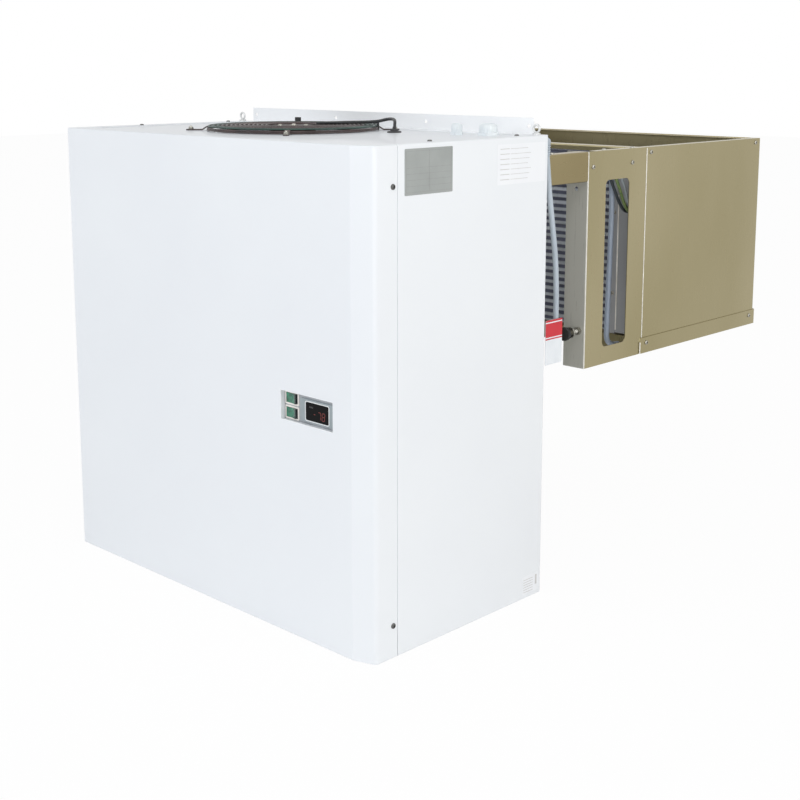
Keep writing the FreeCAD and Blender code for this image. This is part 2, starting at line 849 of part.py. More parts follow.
def rotor(tip_radius):
    """Drum of the outer rotor with its twisted blades, bored for the spindle."""
    drum_bottom = drum_top - drum_length
    drum = Part.makeCylinder(drum_radius, drum_length, V(0, 0, drum_bottom))
    closed_rim = [e for e in drum.Edges if abs(e.CenterOfMass.z - drum_bottom) < 0.01]
    drum = drum.makeFillet(drum_fillet, closed_rim)
    root = blade_section(drum_radius - root_sunk, root_chord, root_pitch, root_camber, root_thickness)
    tip = blade_section(tip_radius + tip_trim, tip_chord, tip_pitch, tip_camber, tip_thickness)
    envelope = Part.makeCylinder(tip_radius, 2 * tip_chord, V(0, 0, -tip_chord))
    blade = Part.makeLoft([root, tip], True, True).common(envelope)
    pieces = [drum]
    for k in range(blade_count):
        copy = blade.copy()
        copy.translate(V(0, 0, (drum_top + drum_bottom) / 2))
        copy.rotate(ORIGIN, Z_AXIS, 360.0 * k / blade_count)
        pieces.append(copy)
    bore_radius = spindle_radius + running_clearance
    bore = Part.makeCylinder(bore_radius, drum_length, V(0, 0, drum_bottom + bore_end))
    well = Part.makeCylinder(well_radius, drum_gap, V(0, 0, drum_top - well_depth))
    return fused(pieces).cut(bore.fuse(well))


def inlet_ring(tip_radius, reach, sheet):
    """Pressed ring round the blades, fixed behind a sheet whose front face is at z = 0."""
    mouth = tip_radius + tip_clearance
    edge = tip_radius + reach
    return turned([(mouth, -sheet), (edge, -sheet), (edge, -sheet - ring_sheet),
                   (mouth + ring_lip, -sheet - ring_sheet), (mouth + ring_sheet, -sheet - ring_lip),
                   (mouth + ring_sheet, -sheet - ring_length), (mouth, -sheet - ring_length)])


def on_deck(shape):
    """Set a fan piece on the cabinet's deck, blowing up."""
    shape.translate(V(fan_x, fan_y, deck))
    return shape


def on_far_wall(shape, side):
    """Set a fan piece on the far wall of the room side, blowing into the room."""
    shape.rotate(ORIGIN, X_AXIS, -90)
    shape.translate(V(side * room_fan_x, far_end, room_fan_z))
    return shape


# Condensing machinery inside the cabinet

def condenser_shroud():
    """Four walls that lead the fan's air through the coil."""
    high = deck - painted_sheet - ring_sheet
    outer = block(condenser_left, condenser_right, condenser_front, condenser_back, shroud_low, high)
    inner = block(condenser_left + steel, condenser_right - steel, condenser_front + steel,
                  condenser_back - steel, shroud_low - 1, deck)
    return outer.cut(inner)


def condenser_fins():
    """Finned block with the gaps of its tube rows showing on top."""
    left = condenser_left + coil_end_room
    right = condenser_right - coil_end_room
    high = shroud_low - fin_inset
    fins = block(left, right, condenser_front + fin_inset, condenser_back - fin_inset,
                 condenser_low + fin_inset, high)
    count = int((condenser_depth - first_groove) / tube_pitch)
    starts = [condenser_front + first_groove + k * tube_pitch for k in range(count)]
    grooves = [block(left - 1, right + 1, y, y + fin_groove, high - fin_inset, high + 1) for y in starts]
    return fins.cut(Part.makeCompound(grooves))


def condenser_coil_ends():
    """End plates of the condenser coil, and the bends that join its tubes."""
    left = condenser_left + coil_end_room - end_plate
    right = condenser_right - coil_end_room
    pieces = [block(x, x + end_plate, condenser_front, condenser_back, condenser_low, shroud_low)
              for x in (left, right)]
    middle = (shroud_low + condenser_low) / 2
    count = int((condenser_depth - 2 * first_tube) / (2 * tube_pitch))
    for k in range(count):
        y = condenser_front + first_tube + tube_pitch * (2 * k + 1)
        pieces.append(return_bend(V(right + end_plate, y, middle), X_AXIS, Y_AXIS))
        pieces.append(return_bend(V(left, y, middle), X_AXIS * -1, Y_AXIS))
    return pieces


def return_bend(centre, outward, across):
    """Hairpin end of two coil tubes, half a turn of square-edged tube."""
    half = coil_tube / 2
    near = tube_pitch / 2 - half
    far = tube_pitch / 2 + half
    up = outward.cross(across)
    square = [(near, -half), (far, -half), (far, half), (near, half)]
    corners = [centre + across * a + up * b for a, b in square]
    face = Part.Face(Part.makePolygon(corners + [corners[0]]))
    bend = face.revolve(centre, up, -180)
    if (bend.CenterOfMass - centre).dot(outward) < 0:
        bend = face.revolve(centre, up, 180)
    return bend


def compressor():
    """Welded hermetic shell on its foot plate, with stub pipes."""
    r = compressor_radius
    h = compressor_height
    belt = r + compressor_belt
    shell = turned([(0, 0), (r - 22, 0), (r - 6, 12), (r, 30), (r, h - 110), (belt, h - 109),
                    (belt, h - 102), (r, h - 101), (r, h - 52), (r - 10, h - 26), (r - 34, h - 8), (0, h)])
    plate = rounded_block(compressor_foot_width, compressor_foot_depth, mount_foot, 0, 0, "XY",
                          -compressor_foot_sunk, compressor_foot_sheet)
    suction = rod(suction_stub_radius, V(stub_root, 0, suction_stub_height),
                  V(suction_stub_reach, 0, suction_stub_height))
    discharge = rod(discharge_radius, V(stub_root, discharge_stub_side, discharge_stub_height),
                    V(discharge_stub_reach, discharge_stub_side, discharge_stub_height))
    holes = [rod(mount_hole, V(x, y, -THROUGH), V(x, y, THROUGH))
             for x in (-mount_x, mount_x) for y in (-mount_y, mount_y)]
    body = fused([shell, plate, suction, discharge]).cut(Part.makeCompound(holes))
    body.translate(V(compressor_x, compressor_y, compressor_z))
    return body


def compressor_mounts():
    """Rubber grommets between the compressor's foot plate and the floor."""
    low = compressor_z - compressor_foot_sunk
    high = low + compressor_foot_sheet
    profile = [(0, pan_floor), (mount_foot, pan_floor), (mount_foot + 1, low - 3), (mount_foot, low),
               (mount_hole, low), (mount_hole, high), (mount_hole + 3, high),
               (mount_hole + 1, high + mount_head), (0, high + mount_head)]
    return [turned(profile, V(compressor_x + x, compressor_y + y, 0))
            for x in (-mount_x, mount_x) for y in (-mount_y, mount_y)]


def terminal_box():
    """Moulded cover of the compressor's terminals, on the shell's front."""
    face = compressor_y - compressor_radius - terminal_depth
    cover = rounded_block(terminal_width, terminal_height, pan_corner, compressor_x,
                          compressor_z + terminal_centre, "XZ", face, terminal_depth + compressor_belt)
    foot = V(compressor_x, compressor_y, compressor_z)
    return cover.cut(Part.makeCylinder(compressor_radius, compressor_height, foot))


def receiver():
    """Upright liquid receiver on a foot ring, with its outlet stub."""
    r = receiver_radius
    h = receiver_height
    tank = turned([(0, 22), (r - 12, 24), (r, 38), (r, h - 18), (r - 12, h - 4), (0, h)])
    ring = turned([(r - 12, 0), (r - 2, 0), (r - 2, receiver_foot), (r - 12, receiver_foot)])
    stub = Part.makeCylinder(liquid_radius + joint_sleeve, receiver_neck + 4, V(0, 0, h - 4))
    return fused([tank, ring, stub]).translated(V(receiver_x, receiver_y, pan_floor))


def filter_drier():
    """Spun copper can in the liquid line above the receiver."""
    neck = liquid_radius + joint_sleeve
    low = drier_gap
    high = drier_gap + drier_length
    full = drier_neck + drier_shoulder
    can = turned([(0, low), (neck, low), (neck, low + drier_neck), (drier_radius, low + full),
                  (drier_radius, high - full), (neck, high - drier_neck), (neck, high), (0, high)])
    return can.translated(V(receiver_x, receiver_y, receiver_end))


def liquid_line():
    """From the receiver through the drier, over the wall to the expansion valve."""
    lower = rod(liquid_radius, V(receiver_x, receiver_y, receiver_end),
                V(receiver_x, receiver_y, receiver_end + drier_gap))
    start = receiver_end + drier_gap + drier_length
    crest = start + liquid_climb
    upper = swept([(receiver_x, receiver_y, start), (receiver_x, receiver_y, crest),
                   (liquid_x, -liquid_from_back, crest), (liquid_x, -liquid_from_back, liquid_level),
                   (liquid_x, valve_y - valve_length / 2, liquid_level)], liquid_radius, liquid_bend)
    return [lower, upper]


def suction_line():
    """Insulated return pipe from the evaporator's header to the compressor."""
    low = compressor_z + suction_stub_height
    out = compressor_x + suction_run_out
    run = -suction_from_back
    return swept([(compressor_x + suction_stub_reach, compressor_y, low), (out, compressor_y, low),
                  (out, run, low), (suction_x, run, low), (suction_x, run, pipe_level),
                  (suction_x, coil_front - suction_joint, pipe_level)], suction_radius, suction_bend)


def discharge_line():
    """Hot gas pipe from the compressor to the condenser coil."""
    low = compressor_z + discharge_stub_height
    high = shroud_low - condenser_thickness / 2
    out = compressor_x + discharge_run_out
    beside = condenser_right + discharge_beside_coil
    y = compressor_y + discharge_stub_side
    tube_y = condenser_front + first_tube
    return swept([(compressor_x + discharge_stub_reach, y, low), (out, y, low), (out, y, high),
                  (beside, y, high), (beside, tube_y, high),
                  (condenser_right - coil_end_room + end_plate, tube_y, high)], discharge_radius,
                 discharge_bend)


def electrical_box():
    """Steel box behind the control plate, on two folded legs from the floor."""
    x0 = opening_left - plate_margin_left
    x1 = opening_left + opening_width + plate_margin
    y0 = plate_front + painted_sheet
    y1 = y0 + switch_box_depth
    z0 = opening_bottom - switch_box_below
    z1 = opening_bottom + opening_height + switch_box_above
    outer = block(x0, x1, y0, y1, z0, z1)
    inner = block(x0 + steel, x1 - steel, y0 - 1, y1 - steel, z0 + steel, z1 - steel)
    leg_back = y1 - switch_box_leg_gap
    pieces = [outer.cut(inner)]
    for x in (x0, x1 - switch_box_leg):
        leg = folded([(x + switch_box_leg, leg_back), (x, leg_back), (x, leg_back - switch_box_leg_fold)],
                     steel, steel, "XY", pan_floor, z0 - pan_floor)
        pieces.append(leg)
    return pieces


def control_plate():
    """Grey plate behind the opening, which carries the switches and the controller."""
    plate = block(opening_left - plate_margin_left, opening_left + opening_width + plate_margin, plate_front,
                  plate_front + painted_sheet, opening_bottom - plate_margin,
                  opening_bottom + opening_height + plate_margin)
    cuts = [rounded_block(rocker_body_width + 2 * cutout_gap, rocker_body_height + 2 * cutout_gap, 1, rocker_x,
                          rocker_z + level * rocker_pitch, "XZ", plate_front - THROUGH, 2 * THROUGH)
            for level in (0, 1)]
    cuts.append(rounded_block(case_width + 2 * case_gap, case_height + 2 * case_gap, 1, controller_x,
                              controller_z, "XZ", plate_front - THROUGH, 2 * THROUGH))
    return plate.cut(Part.makeCompound(cuts))


def rocker_frame(level):
    """Bezel and body of one switch, with the well and the bearing holes for its rocker."""
    z = rocker_z + level * rocker_pitch
    half_well = rocker_height / 2 + rocker_side_gap
    bezel = rounded_block(rocker_frame_width, rocker_frame_height, rocker_frame_corner, rocker_x, z, "XZ",
                          plate_front - rocker_bezel, rocker_bezel)
    body = rounded_block(rocker_body_width, rocker_body_height, 0.8, rocker_x, z, "XZ", plate_front - 0.5,
                         rocker_body_depth + 0.5)
    well = block(rocker_x - rocker_well_width / 2, rocker_x + rocker_well_width / 2, plate_front - THROUGH,
                 rocker_pivot_y + rocker_well_depth, z - half_well, z + half_well)
    bearings = rod(pin_radius + running_clearance, V(rocker_x, rocker_pivot_y, z - bearing_reach),
                   V(rocker_x, rocker_pivot_y, z + bearing_reach))
    return bezel.fuse(body).cut(well).cut(bearings).removeSplitter()


def rocker(level):
    """Translucent rocker on its two pins, pressed to one side."""
    half = rocker_width / 2
    points = [(-half, -8.5), (0, -6.8), (half, -8.5), (half, -1.5), (4, 3.2), (-4, 3.2), (-half, -1.5)]
    body = outline(points, [1.2, 14, 1.2, 0.8, 1.5, 1.5, 0.8], "XY", -rocker_height / 2)
    body = body.extrude(V(0, 0, rocker_height))
    pins = rod(pin_radius, V(0, 0, -rocker_pin_reach), V(0, 0, rocker_pin_reach))
    key = body.fuse(pins).removeSplitter()
    key.rotate(ORIGIN, Z_AXIS, -rocker_tilt)
    key.translate(V(rocker_x, rocker_pivot_y, rocker_z + level * rocker_pitch))
    return key


def controller():
    """Electronic controller: bezel in front of the plate, case behind it."""
    bezel = rounded_block(controller_width, controller_height, controller_corner, controller_x, controller_z,
                          "XZ", plate_front - controller_bezel, controller_bezel)
    case = rounded_block(case_width, case_height, 1, controller_x, controller_z, "XZ", plate_front - 1,
                         case_depth + 1)
    window_end = plate_front - controller_bezel - screen_proud + screen_thickness
    window = rounded_block(screen_width + 2 * screen_gap, screen_height + 2 * screen_gap,
                           screen_corner + screen_gap, screen_x, screen_z, "XZ", plate_front - THROUGH,
                           window_end - plate_front + THROUGH)
    return bezel.fuse(case).cut(window).removeSplitter()


def controller_screen():
    """Tinted window in the controller's bezel, standing slightly proud of it."""
    return rounded_block(screen_width, screen_height, screen_corner, screen_x, screen_z, "XZ",
                         plate_front - controller_bezel - screen_proud, screen_thickness)


def cable_gland(x, y, flats, bore):
    """Plastic gland: hexagon on the deck, domed nut above, threaded tube below."""
    r = flats / 2
    base = hexagon(flats, gland_base, V(x, y, deck))
    dome = turned([(0, gland_base), (r * 0.92, gland_base), (r * 0.92, gland_base + 7),
                   (r * 0.72, gland_height - 1), (bore + 1.2, gland_height), (0, gland_height)], V(x, y, deck))
    thread = Part.makeCylinder(bore + gland_wall, gland_thread, V(x, y, deck - gland_thread))
    hole = rod(bore, V(x, y, deck - 2 * gland_thread), V(x, y, deck + 2 * gland_height))
    return fused([base, dome, thread]).cut(hole)


def fan_cable_grommet():
    """Rubber cup that takes the fan's cable through the deck."""
    bore = fan_cable_radius + cutout_gap
    neck = grommet_hole - gland_hole_gap
    cup = turned([(bore, -4), (neck, -4), (neck, 0), (grommet_radius, 0), (grommet_radius - 1, 3),
                  (grommet_radius / 2, 4), (bore, 4)])
    return cup.translated(V(grommet_x, grommet_y, deck))


def fan_cable():
    """Short cable from the fan motor along a guard leg to its entry in the deck."""
    level = deck + arm_height + arm_thick + wire_size + fan_cable_radius + 0.4
    beside = arm_width - 1
    leg = math.cos(math.pi / 4)
    inner = leg * (first_wire + 8)
    outer = leg * (condenser_tip + guard_reach + 14)
    return swept([(fan_x + inner, fan_y + inner - beside, level), (fan_x + outer, fan_y + outer - beside, level),
                  (grommet_x - 12, grommet_y + 16, level + 2), (grommet_x, grommet_y, deck + 14),
                  (grommet_x, grommet_y, deck + 3)], fan_cable_radius, 5)


# Bridge over the wall

def bridge_beam():
    """Folded channel on the service side, with end lugs against cabinet and neck."""
    web = room_half
    profile = [(web - beam_flange, 0), (web, 0), (web, room_top), (web - beam_flange, room_top)]
    channel = folded(profile, steel, steel_bend, "XZ", 0, wall_gap)
    lugs = [block(web - beam_flange, web - steel, y, y + steel, steel, beam_lug)
            for y in (0, wall_gap - steel)]
    return fused([channel] + lugs)


# Room side

def neck_side():
    """Side sheet of the neck with its front flange, top fold and long window."""
    web = room_half
    sheet = folded([(web - neck_flange, neck_front), (web, neck_front), (web, neck_back)], steel, steel_bend,
                   "XY", room_bottom, room_height)
    fold = block(web - fold_width, web - steel / 2, neck_front + neck_flange / 2, neck_back,
                 room_top - steel, room_top)
    window = rounded_block(window_width, window_height, window_corner,
                           neck_front + window_from_front + window_width / 2,
                           room_top - window_from_top - window_height / 2, "YZ", web - THROUGH, 2 * THROUGH)
    start = neck_front - THROUGH
    end = neck_front + THROUGH
    fixing_x = web - fixing_hole_inset
    fixing_z = room_top - fixing_hole_drop
    fixing = rod(fixing_hole_radius, V(fixing_x, start, fixing_z), V(fixing_x, end, fixing_z))
    stud = rod(stud_radius + stud_hole_gap, V(spacer_x, start, spacer_z), V(spacer_x, end, spacer_z))
    passage = block(web - neck_flange - 1, web - steel_bend - steel, start, end, beam_lug, room_top - 5)
    heel = block(web - THROUGH, web + 1, neck_back - tray_lead - sheet_foot, neck_back + 1, room_bottom - 1,
                 tray_top + sheet_foot)
    cuts = Part.makeCompound([window, fixing, stud, passage, heel])
    return sheet.fuse(fold).cut(cuts).removeSplitter()


def box_side():
    """Side sheet of the end box, with a fold along its top and its front edge."""
    web = room_half
    start = neck_back + box_gap
    foot = tray_floor + sheet_foot
    sheet = folded([(web - box_fold, start), (web, start), (web, far_end - steel)], steel, steel_bend, "XY",
                   foot, room_top - foot)
    fold = block(web - fold_width, web - steel / 2, start + steel / 2, far_end - steel, room_top - steel,
                 room_top)
    bar_seat = block(web - box_fold - 1, web - steel, start - 1, start + 4, coil_top + 1, room_top - steel)
    return sheet.fuse(fold).cut(bar_seat).removeSplitter()


def fan_wall():
    """Far wall with side and top folds and the two fan openings."""
    edge = room_half - steel
    foot = tray_floor + sheet_foot
    inside = far_end - wall_fold
    wall = folded([(edge, inside), (edge, far_end), (-edge, far_end), (-edge, inside)], steel, steel_bend,
                  "XY", foot, room_top - foot)
    lip = block(-edge + steel, edge - steel, far_end - fold_width, far_end - steel / 2, room_top - 2 * steel,
                room_top - steel)
    wall = wall.fuse(lip)
    for side in (-1, 1):
        corner_x = side * edge
        wall = wall.cut(block(corner_x - fold_width, corner_x + fold_width, inside - 1, far_end - steel,
                              room_top - steel, room_top + 1))
        axis_x = side * room_fan_x
        wall = wall.cut(rod(room_fan_tip + tip_clearance, V(axis_x, far_end - THROUGH, room_fan_z),
                            V(axis_x, far_end + THROUGH, room_fan_z)))
    return wall.removeSplitter()


def cross_bar():
    """Folded bar across the top of the coil that ties the two sides together."""
    edge = room_half - steel
    high = room_top - steel
    return folded([(coil_front + bar_depth, high), (coil_front, high), (coil_front, coil_top + 1)], steel,
                  bar_bend, "YZ", -edge, 2 * edge)


def evaporator_fins():
    """Finned block of the evaporator: fin pack with the tube rows showing as ridges."""
    pieces = [block(-coil_half, coil_half, coil_front + fin_recess, coil_back - fin_recess, coil_bottom,
                    coil_top)]
    for k in range(tube_rows):
        z = coil_bottom + tube_pitch * (k + 0.5)
        pieces.append(block(-coil_half, coil_half, coil_front, coil_back, z - ridge_height / 2,
                            z + ridge_height / 2))
    return fused(pieces)


def evaporator_end_plates():
    """End plates of the coil with a screwed flange facing the wall, standing on feet in the tray."""
    face = coil_front - steel
    plate = folded([(coil_half, coil_back), (coil_half, face), (coil_half + end_plate_flange, face)],
                   steel, bar_bend, "XY", coil_bottom - 2, coil_top + 3 - coil_bottom)
    feet = block(coil_half, coil_half + steel, coil_front + 20, coil_back - 10, tray_floor, coil_bottom)
    plate = plate.fuse(feet).removeSplitter()
    return [plate, mirrored(plate)]


def evaporator_bends():
    """Hairpins on the service side, and on the far side every second one beside the header."""
    x = coil_half + steel
    y = coil_front + coil_depth / 2
    bends = []
    for k in range(tube_rows):
        z = coil_bottom + tube_pitch * (k + 0.5)
        bends.append(return_bend(V(x, y, z), X_AXIS, Y_AXIS))
        if k % 2:
            bends.append(return_bend(V(-x, y + tube_pitch / 2, z - tube_pitch / 2), X_AXIS * -1, Z_AXIS))
    return bends


def suction_header():
    """Suction header beside the coil, with a stub to every second tube."""
    y = coil_front + (coil_depth - tube_pitch) / 2
    low_end = V(header_x, y, coil_bottom + header_end)
    pipe = rod(header_radius, low_end, V(header_x, y, coil_top - header_end))
    heights = [coil_bottom + tube_pitch * (k + 0.5) for k in range(1, tube_rows - 1, 2)]
    stubs = [rod(header_stub, V(header_x, y, z), V(-coil_half - steel, y, z)) for z in heights]
    turn = coil_top - riser_drop
    forward = y - header_forward
    joint = coil_front - suction_joint
    riser = swept([(header_x, y, turn), (header_x, forward, turn), (header_x, forward, pipe_level),
                   (suction_x, joint + 2 * riser_radius, pipe_level), (suction_x, joint, pipe_level)],
                  riser_radius, riser_bend)
    return fused([pipe, riser] + stubs)


def expansion_valve():
    """Brass valve body with its power head, on the liquid line in the neck."""
    half = valve_length / 2
    r = valve_head_radius
    body = hexagon(valve_flats, valve_length, V(0, 0, -half))
    head = turned([(0, half), (7, half), (7, half + 8), (r, half + 11), (r, half + 17), (0, half + 21)])
    inlet = rod(liquid_radius + joint_sleeve, V(0, -half, 0), ORIGIN)
    outlet = rod(liquid_radius, ORIGIN, V(0, coil_front - steel - valve_y, 0))
    return fused([body, head, inlet, outlet]).translated(V(liquid_x, valve_y, liquid_level))


def blanking_plates():
    """Sheets beside the coil that close the way round it, with the wire hole on the service side."""
    outer = room_half - steel - blank_gap
    inner = coil_half + end_plate_flange - blank_overlap
    sheet = block(inner, outer, coil_front, coil_front + steel, coil_bottom, coil_top + 1)
    hole_z = wire_hole_z - wire_radius - wire_rest_gap + wire_hole_height / 2
    right = sheet.cut(rounded_block(wire_hole_width, wire_hole_height, wire_hole_corner, wires_x, hole_z,
                                    "XZ", coil_front - THROUGH, 2 * THROUGH))
    left = mirrored(sheet).cut(rod(riser_radius + 1, V(header_x, coil_front - THROUGH, pipe_level),
                                   V(header_x, coil_front + THROUGH, pipe_level)))
    return [right, left]


def drain_tray():
    """Open tray under the box that wraps the side sheets, with the drain hole."""
    side = room_half + steel + tray_gap
    y0 = neck_back - tray_lead
    y1 = far_end + tray_overhang
    outer = block(-side, side, y0, y1, room_bottom, tray_top)
    outer = outer.makeFillet(tray_corner, upright_edges(outer, tray_depth))
    inner = block(-side + steel, side - steel, y0 + steel, y1 - steel, tray_floor, tray_top + 1)
    inner = inner.makeFillet(tray_corner - steel, upright_edges(inner, tray_depth))
    hole = rod(drain_bore, V(0, drain_y, room_bottom - THROUGH), V(0, drain_y, room_bottom + THROUGH))
    return outer.cut(inner).cut(hole)


def drain_spout():
    """Flanged spout under the tray, where the drain hose pushes on."""
    end = -drain_sheet - drain_length
    rim = drain_radius + drain_flange
    spout = turned([(drain_bore, 0), (rim, 0), (rim, -drain_sheet), (drain_radius, -drain_sheet),
                    (drain_radius, end), (drain_bore, end)])
    return spout.translated(V(0, drain_y, room_bottom))


def stainless_screws():
    """Screws in the stainless sheets, as a pair on both sides."""
    web = room_half
    tray_side = web + steel + tray_gap
    places = [(web, neck_front + 15, room_top - 28.3), (web, neck_front + 140, room_top - 26.6),
              (web, neck_back + 15, room_top - 10), (web, far_end - 20, room_top - 9),
              (tray_side, neck_back + 16, room_bottom + 20), (tray_side, far_end - 20, room_bottom + 20)]
    heads = [pan_head(steel_screw_head, steel_screw_rise, V(*place), X_AXIS) for place in places]
    heads += [pan_head(steel_screw_head, steel_screw_rise, V(web - fold_width / 2, y, room_top), Z_AXIS)
              for y in (beam_screw_y, neck_front + 60, neck_front + 150)]
    return heads + [mirrored(head) for head in heads]


def tray_heating_line():
    """Insulated hot gas branch over the wall and down the neck to the tray."""
    drop_y = neck_front + heating_drop
    low = room_bottom + heating_foot
    return swept([(heating_x, -heating_from_back, pipe_level), (heating_x, drop_y, pipe_level),
                  (heating_x, drop_y, low), (heating_x, neck_back - tray_lead, low)], heating_radius,
                 heating_bend)


def room_harness():
    """Three wires through the service-side beam, down the neck and through the blanking plate."""
    wires = []
    for k in range(3):
        x = wires_x + (k - 1) * (2 * wire_radius + wire_gap)
        wires.append(swept([(x, -20, pipe_level), (x, neck_front + 112 + 8 * k, pipe_level),
                            (x, neck_back - 34 + 4 * k, -20), (x, coil_front - 14, wire_hole_z),
                            (x, coil_front + 30, wire_hole_z)], wire_radius, wire_bend))
    return wires


def spacer():
    """Threaded stud with its rubber foot, which is screwed out against the wall."""
    tip = neck_front - stud_reach
    stud = rod(stud_radius, V(spacer_x, tip, spacer_z), V(spacer_x, neck_front + stud_tail, spacer_z))
    foot = Part.makeCylinder(foot_radius, foot_length, V(spacer_x, tip - foot_length / 2, spacer_z), Y_AXIS)
    foot = foot.makeFillet(foot_fillet, [e for e in foot.Edges if e.BoundBox.YLength < 0.01])
    return stud.fuse(foot).removeSplitter()


def spacer_nuts():
    """Nuts on both sides of the neck's flange that lock the stud."""
    nuts = []
    for y in (neck_front - nut_height, neck_front + steel):
        bore = rod(stud_radius + running_clearance, V(0, 0, -THROUGH), V(0, 0, 2 * THROUGH))
        nut = hexagon(nut_flats, nut_height, ORIGIN).cut(bore)
        nut.rotate(ORIGIN, X_AXIS, -90)
        nut.translate(V(spacer_x, y, spacer_z))
        nuts.append(nut)
    return nuts + [mirrored(nut) for nut in nuts]


# Supply lead with its strain relief and tag

def lead_relief():
    """Elbow on the back return of the side panel, tapering down along the lead."""
    mouth = V(*lead_points[0])
    down = (V(*lead_points[1]) - mouth).normalize()
    elbow = mouth - down * relief_taper
    seat = V(elbow.x, 0, elbow.z)
    boss = rod(relief_radius, seat, elbow)
    taper = Part.makeCone(relief_radius, lead_radius + relief_rim, relief_taper, elbow, down)
    rim = Part.makeCylinder(relief_radius + relief_rim, relief_rim_height, seat, Y_AXIS)
    return fused([boss, Part.makeSphere(relief_radius, elbow), taper, rim])


def supply_lead():
    """Plain tube along the lead's route, each bend as wide as its two runs allow."""
    corners = [V(*p) for p in lead_points]
    bends = []
    for i in range(1, len(corners) - 1):
        before = corners[i - 1] - corners[i]
        after = corners[i + 1] - corners[i]
        half_turn = (math.pi - before.getAngle(after)) / 2
        bends.append(0.45 * min(before.Length, after.Length) / math.tan(half_turn))
    lead = swept(lead_points, lead_radius, bends)
    length = lead.Volume / (math.pi * lead_radius ** 2)
    print("supply lead: length %.1f mm, bend radii" % length, [round(b) for b in bends])
    return lead


def lead_tag():
    """Card tag on the lead's outer side, with a sleeve that grips the lead's last stretch."""
    before = V(*lead_points[-2])
    end = V(*lead_points[-1])
    start = before + (end - before) * 0.2
    sleeve = rod(lead_radius + tag_grip + tag_thickness, start, end)
    bore = rod(lead_radius + tag_grip, before, end + (end - before))
    card_x = lead_x + lead_radius + tag_grip + tag_thickness * 0.4
    card = rounded_block(tag_width, tag_height, tag_corner, tag_centre_y, tag_centre_z, "YZ", card_x,
                         tag_thickness)
    return fused([sleeve, card]).cut(bore)


# Write every node
save("front_cover", front_cover())
save("side_panel_right", side_panel())
save("side_panel_left", louvred_side_panel())
save("top_panel", top_panel())
save("base_pan", base_pan())
save("back_panel", back_panel())
save("hanging_flange", hanging_flange())
save("lifting_eyes", [lifting_eye(), mirrored(lifting_eye())])
save("cabinet_screws", cabinet_screws())
save("condenser_fan_guard", on_deck(guard(condenser_tip, condenser_tab_reach, condenser_wires)))
save("condenser_fan_motor", on_deck(stator()))
save("condenser_fan_rotor", on_deck(rotor(condenser_tip)))
save("condenser_fan_ring", on_deck(inlet_ring(condenser_tip, condenser_ring_reach, painted_sheet)))
save("condenser_shroud", condenser_shroud())
save("condenser_fins", condenser_fins())
save("condenser_coil_ends", condenser_coil_ends())
save("compressor", compressor())
save("compressor_mounts", compressor_mounts())
save("compressor_terminal_box", terminal_box())
save("liquid_receiver", receiver())
save("filter_drier", filter_drier())
save("liquid_line", liquid_line())
save("suction_line", suction_line())
save("discharge_line", discharge_line())
save("electrical_box", electrical_box())
save("control_plate", control_plate())
save("rocker_frames", [rocker_frame(0), rocker_frame(1)])
save("rocker_lower", rocker(0))
save("rocker_upper", rocker(1))
save("controller", controller())
save("controller_screen", controller_screen())
save("cable_entries", [cable_gland(*place) for place in gland_places()] + [fan_cable_grommet()])
save("fan_cable", fan_cable())
save("bridge_beams", [bridge_beam(), mirrored(bridge_beam())])
save("neck_side_right", neck_side())
save("neck_side_left", mirrored(neck_side()))
save("box_sides", [box_side(), mirrored(box_side())])
save("fan_wall", fan_wall())
save("cross_bar", cross_bar())
save("evaporator_fins", evaporator_fins())
save("evaporator_end_plates", evaporator_end_plates() + blanking_plates())
save("evaporator_bends", evaporator_bends())
save("suction_header", suction_header())
save("expansion_valve", expansion_valve())
save("drain_tray", drain_tray())
save("drain_spout", drain_spout())
save("stainless_screws", stainless_screws())
save("tray_heating_line", tray_heating_line())
save("room_harness", room_harness())
save("spacer_right", spacer())
save("spacer_left", mirrored(spacer()))
save("spacer_nuts", spacer_nuts())
room_guards = [on_far_wall(guard(room_fan_tip, room_tab_reach, room_wires), side) for side in (-1, 1)]
save("room_fan_guards", room_guards)
save("room_fan_motors", [on_far_wall(stator(), side) for side in (-1, 1)])
room_rings = [on_far_wall(inlet_ring(room_fan_tip, room_ring_reach, steel), side) for side in (-1, 1)]
save("room_fan_rings", room_rings)
save("room_fan_rotor_left", on_far_wall(rotor(room_fan_tip), -1))
save("room_fan_rotor_right", on_far_wall(rotor(room_fan_tip), 1))
save("lead_gland", lead_relief())
save("supply_lead", supply_lead())
save("lead_tag", lead_tag())
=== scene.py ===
import math

import bmesh
import bpy
from mathutils import Matrix, Vector


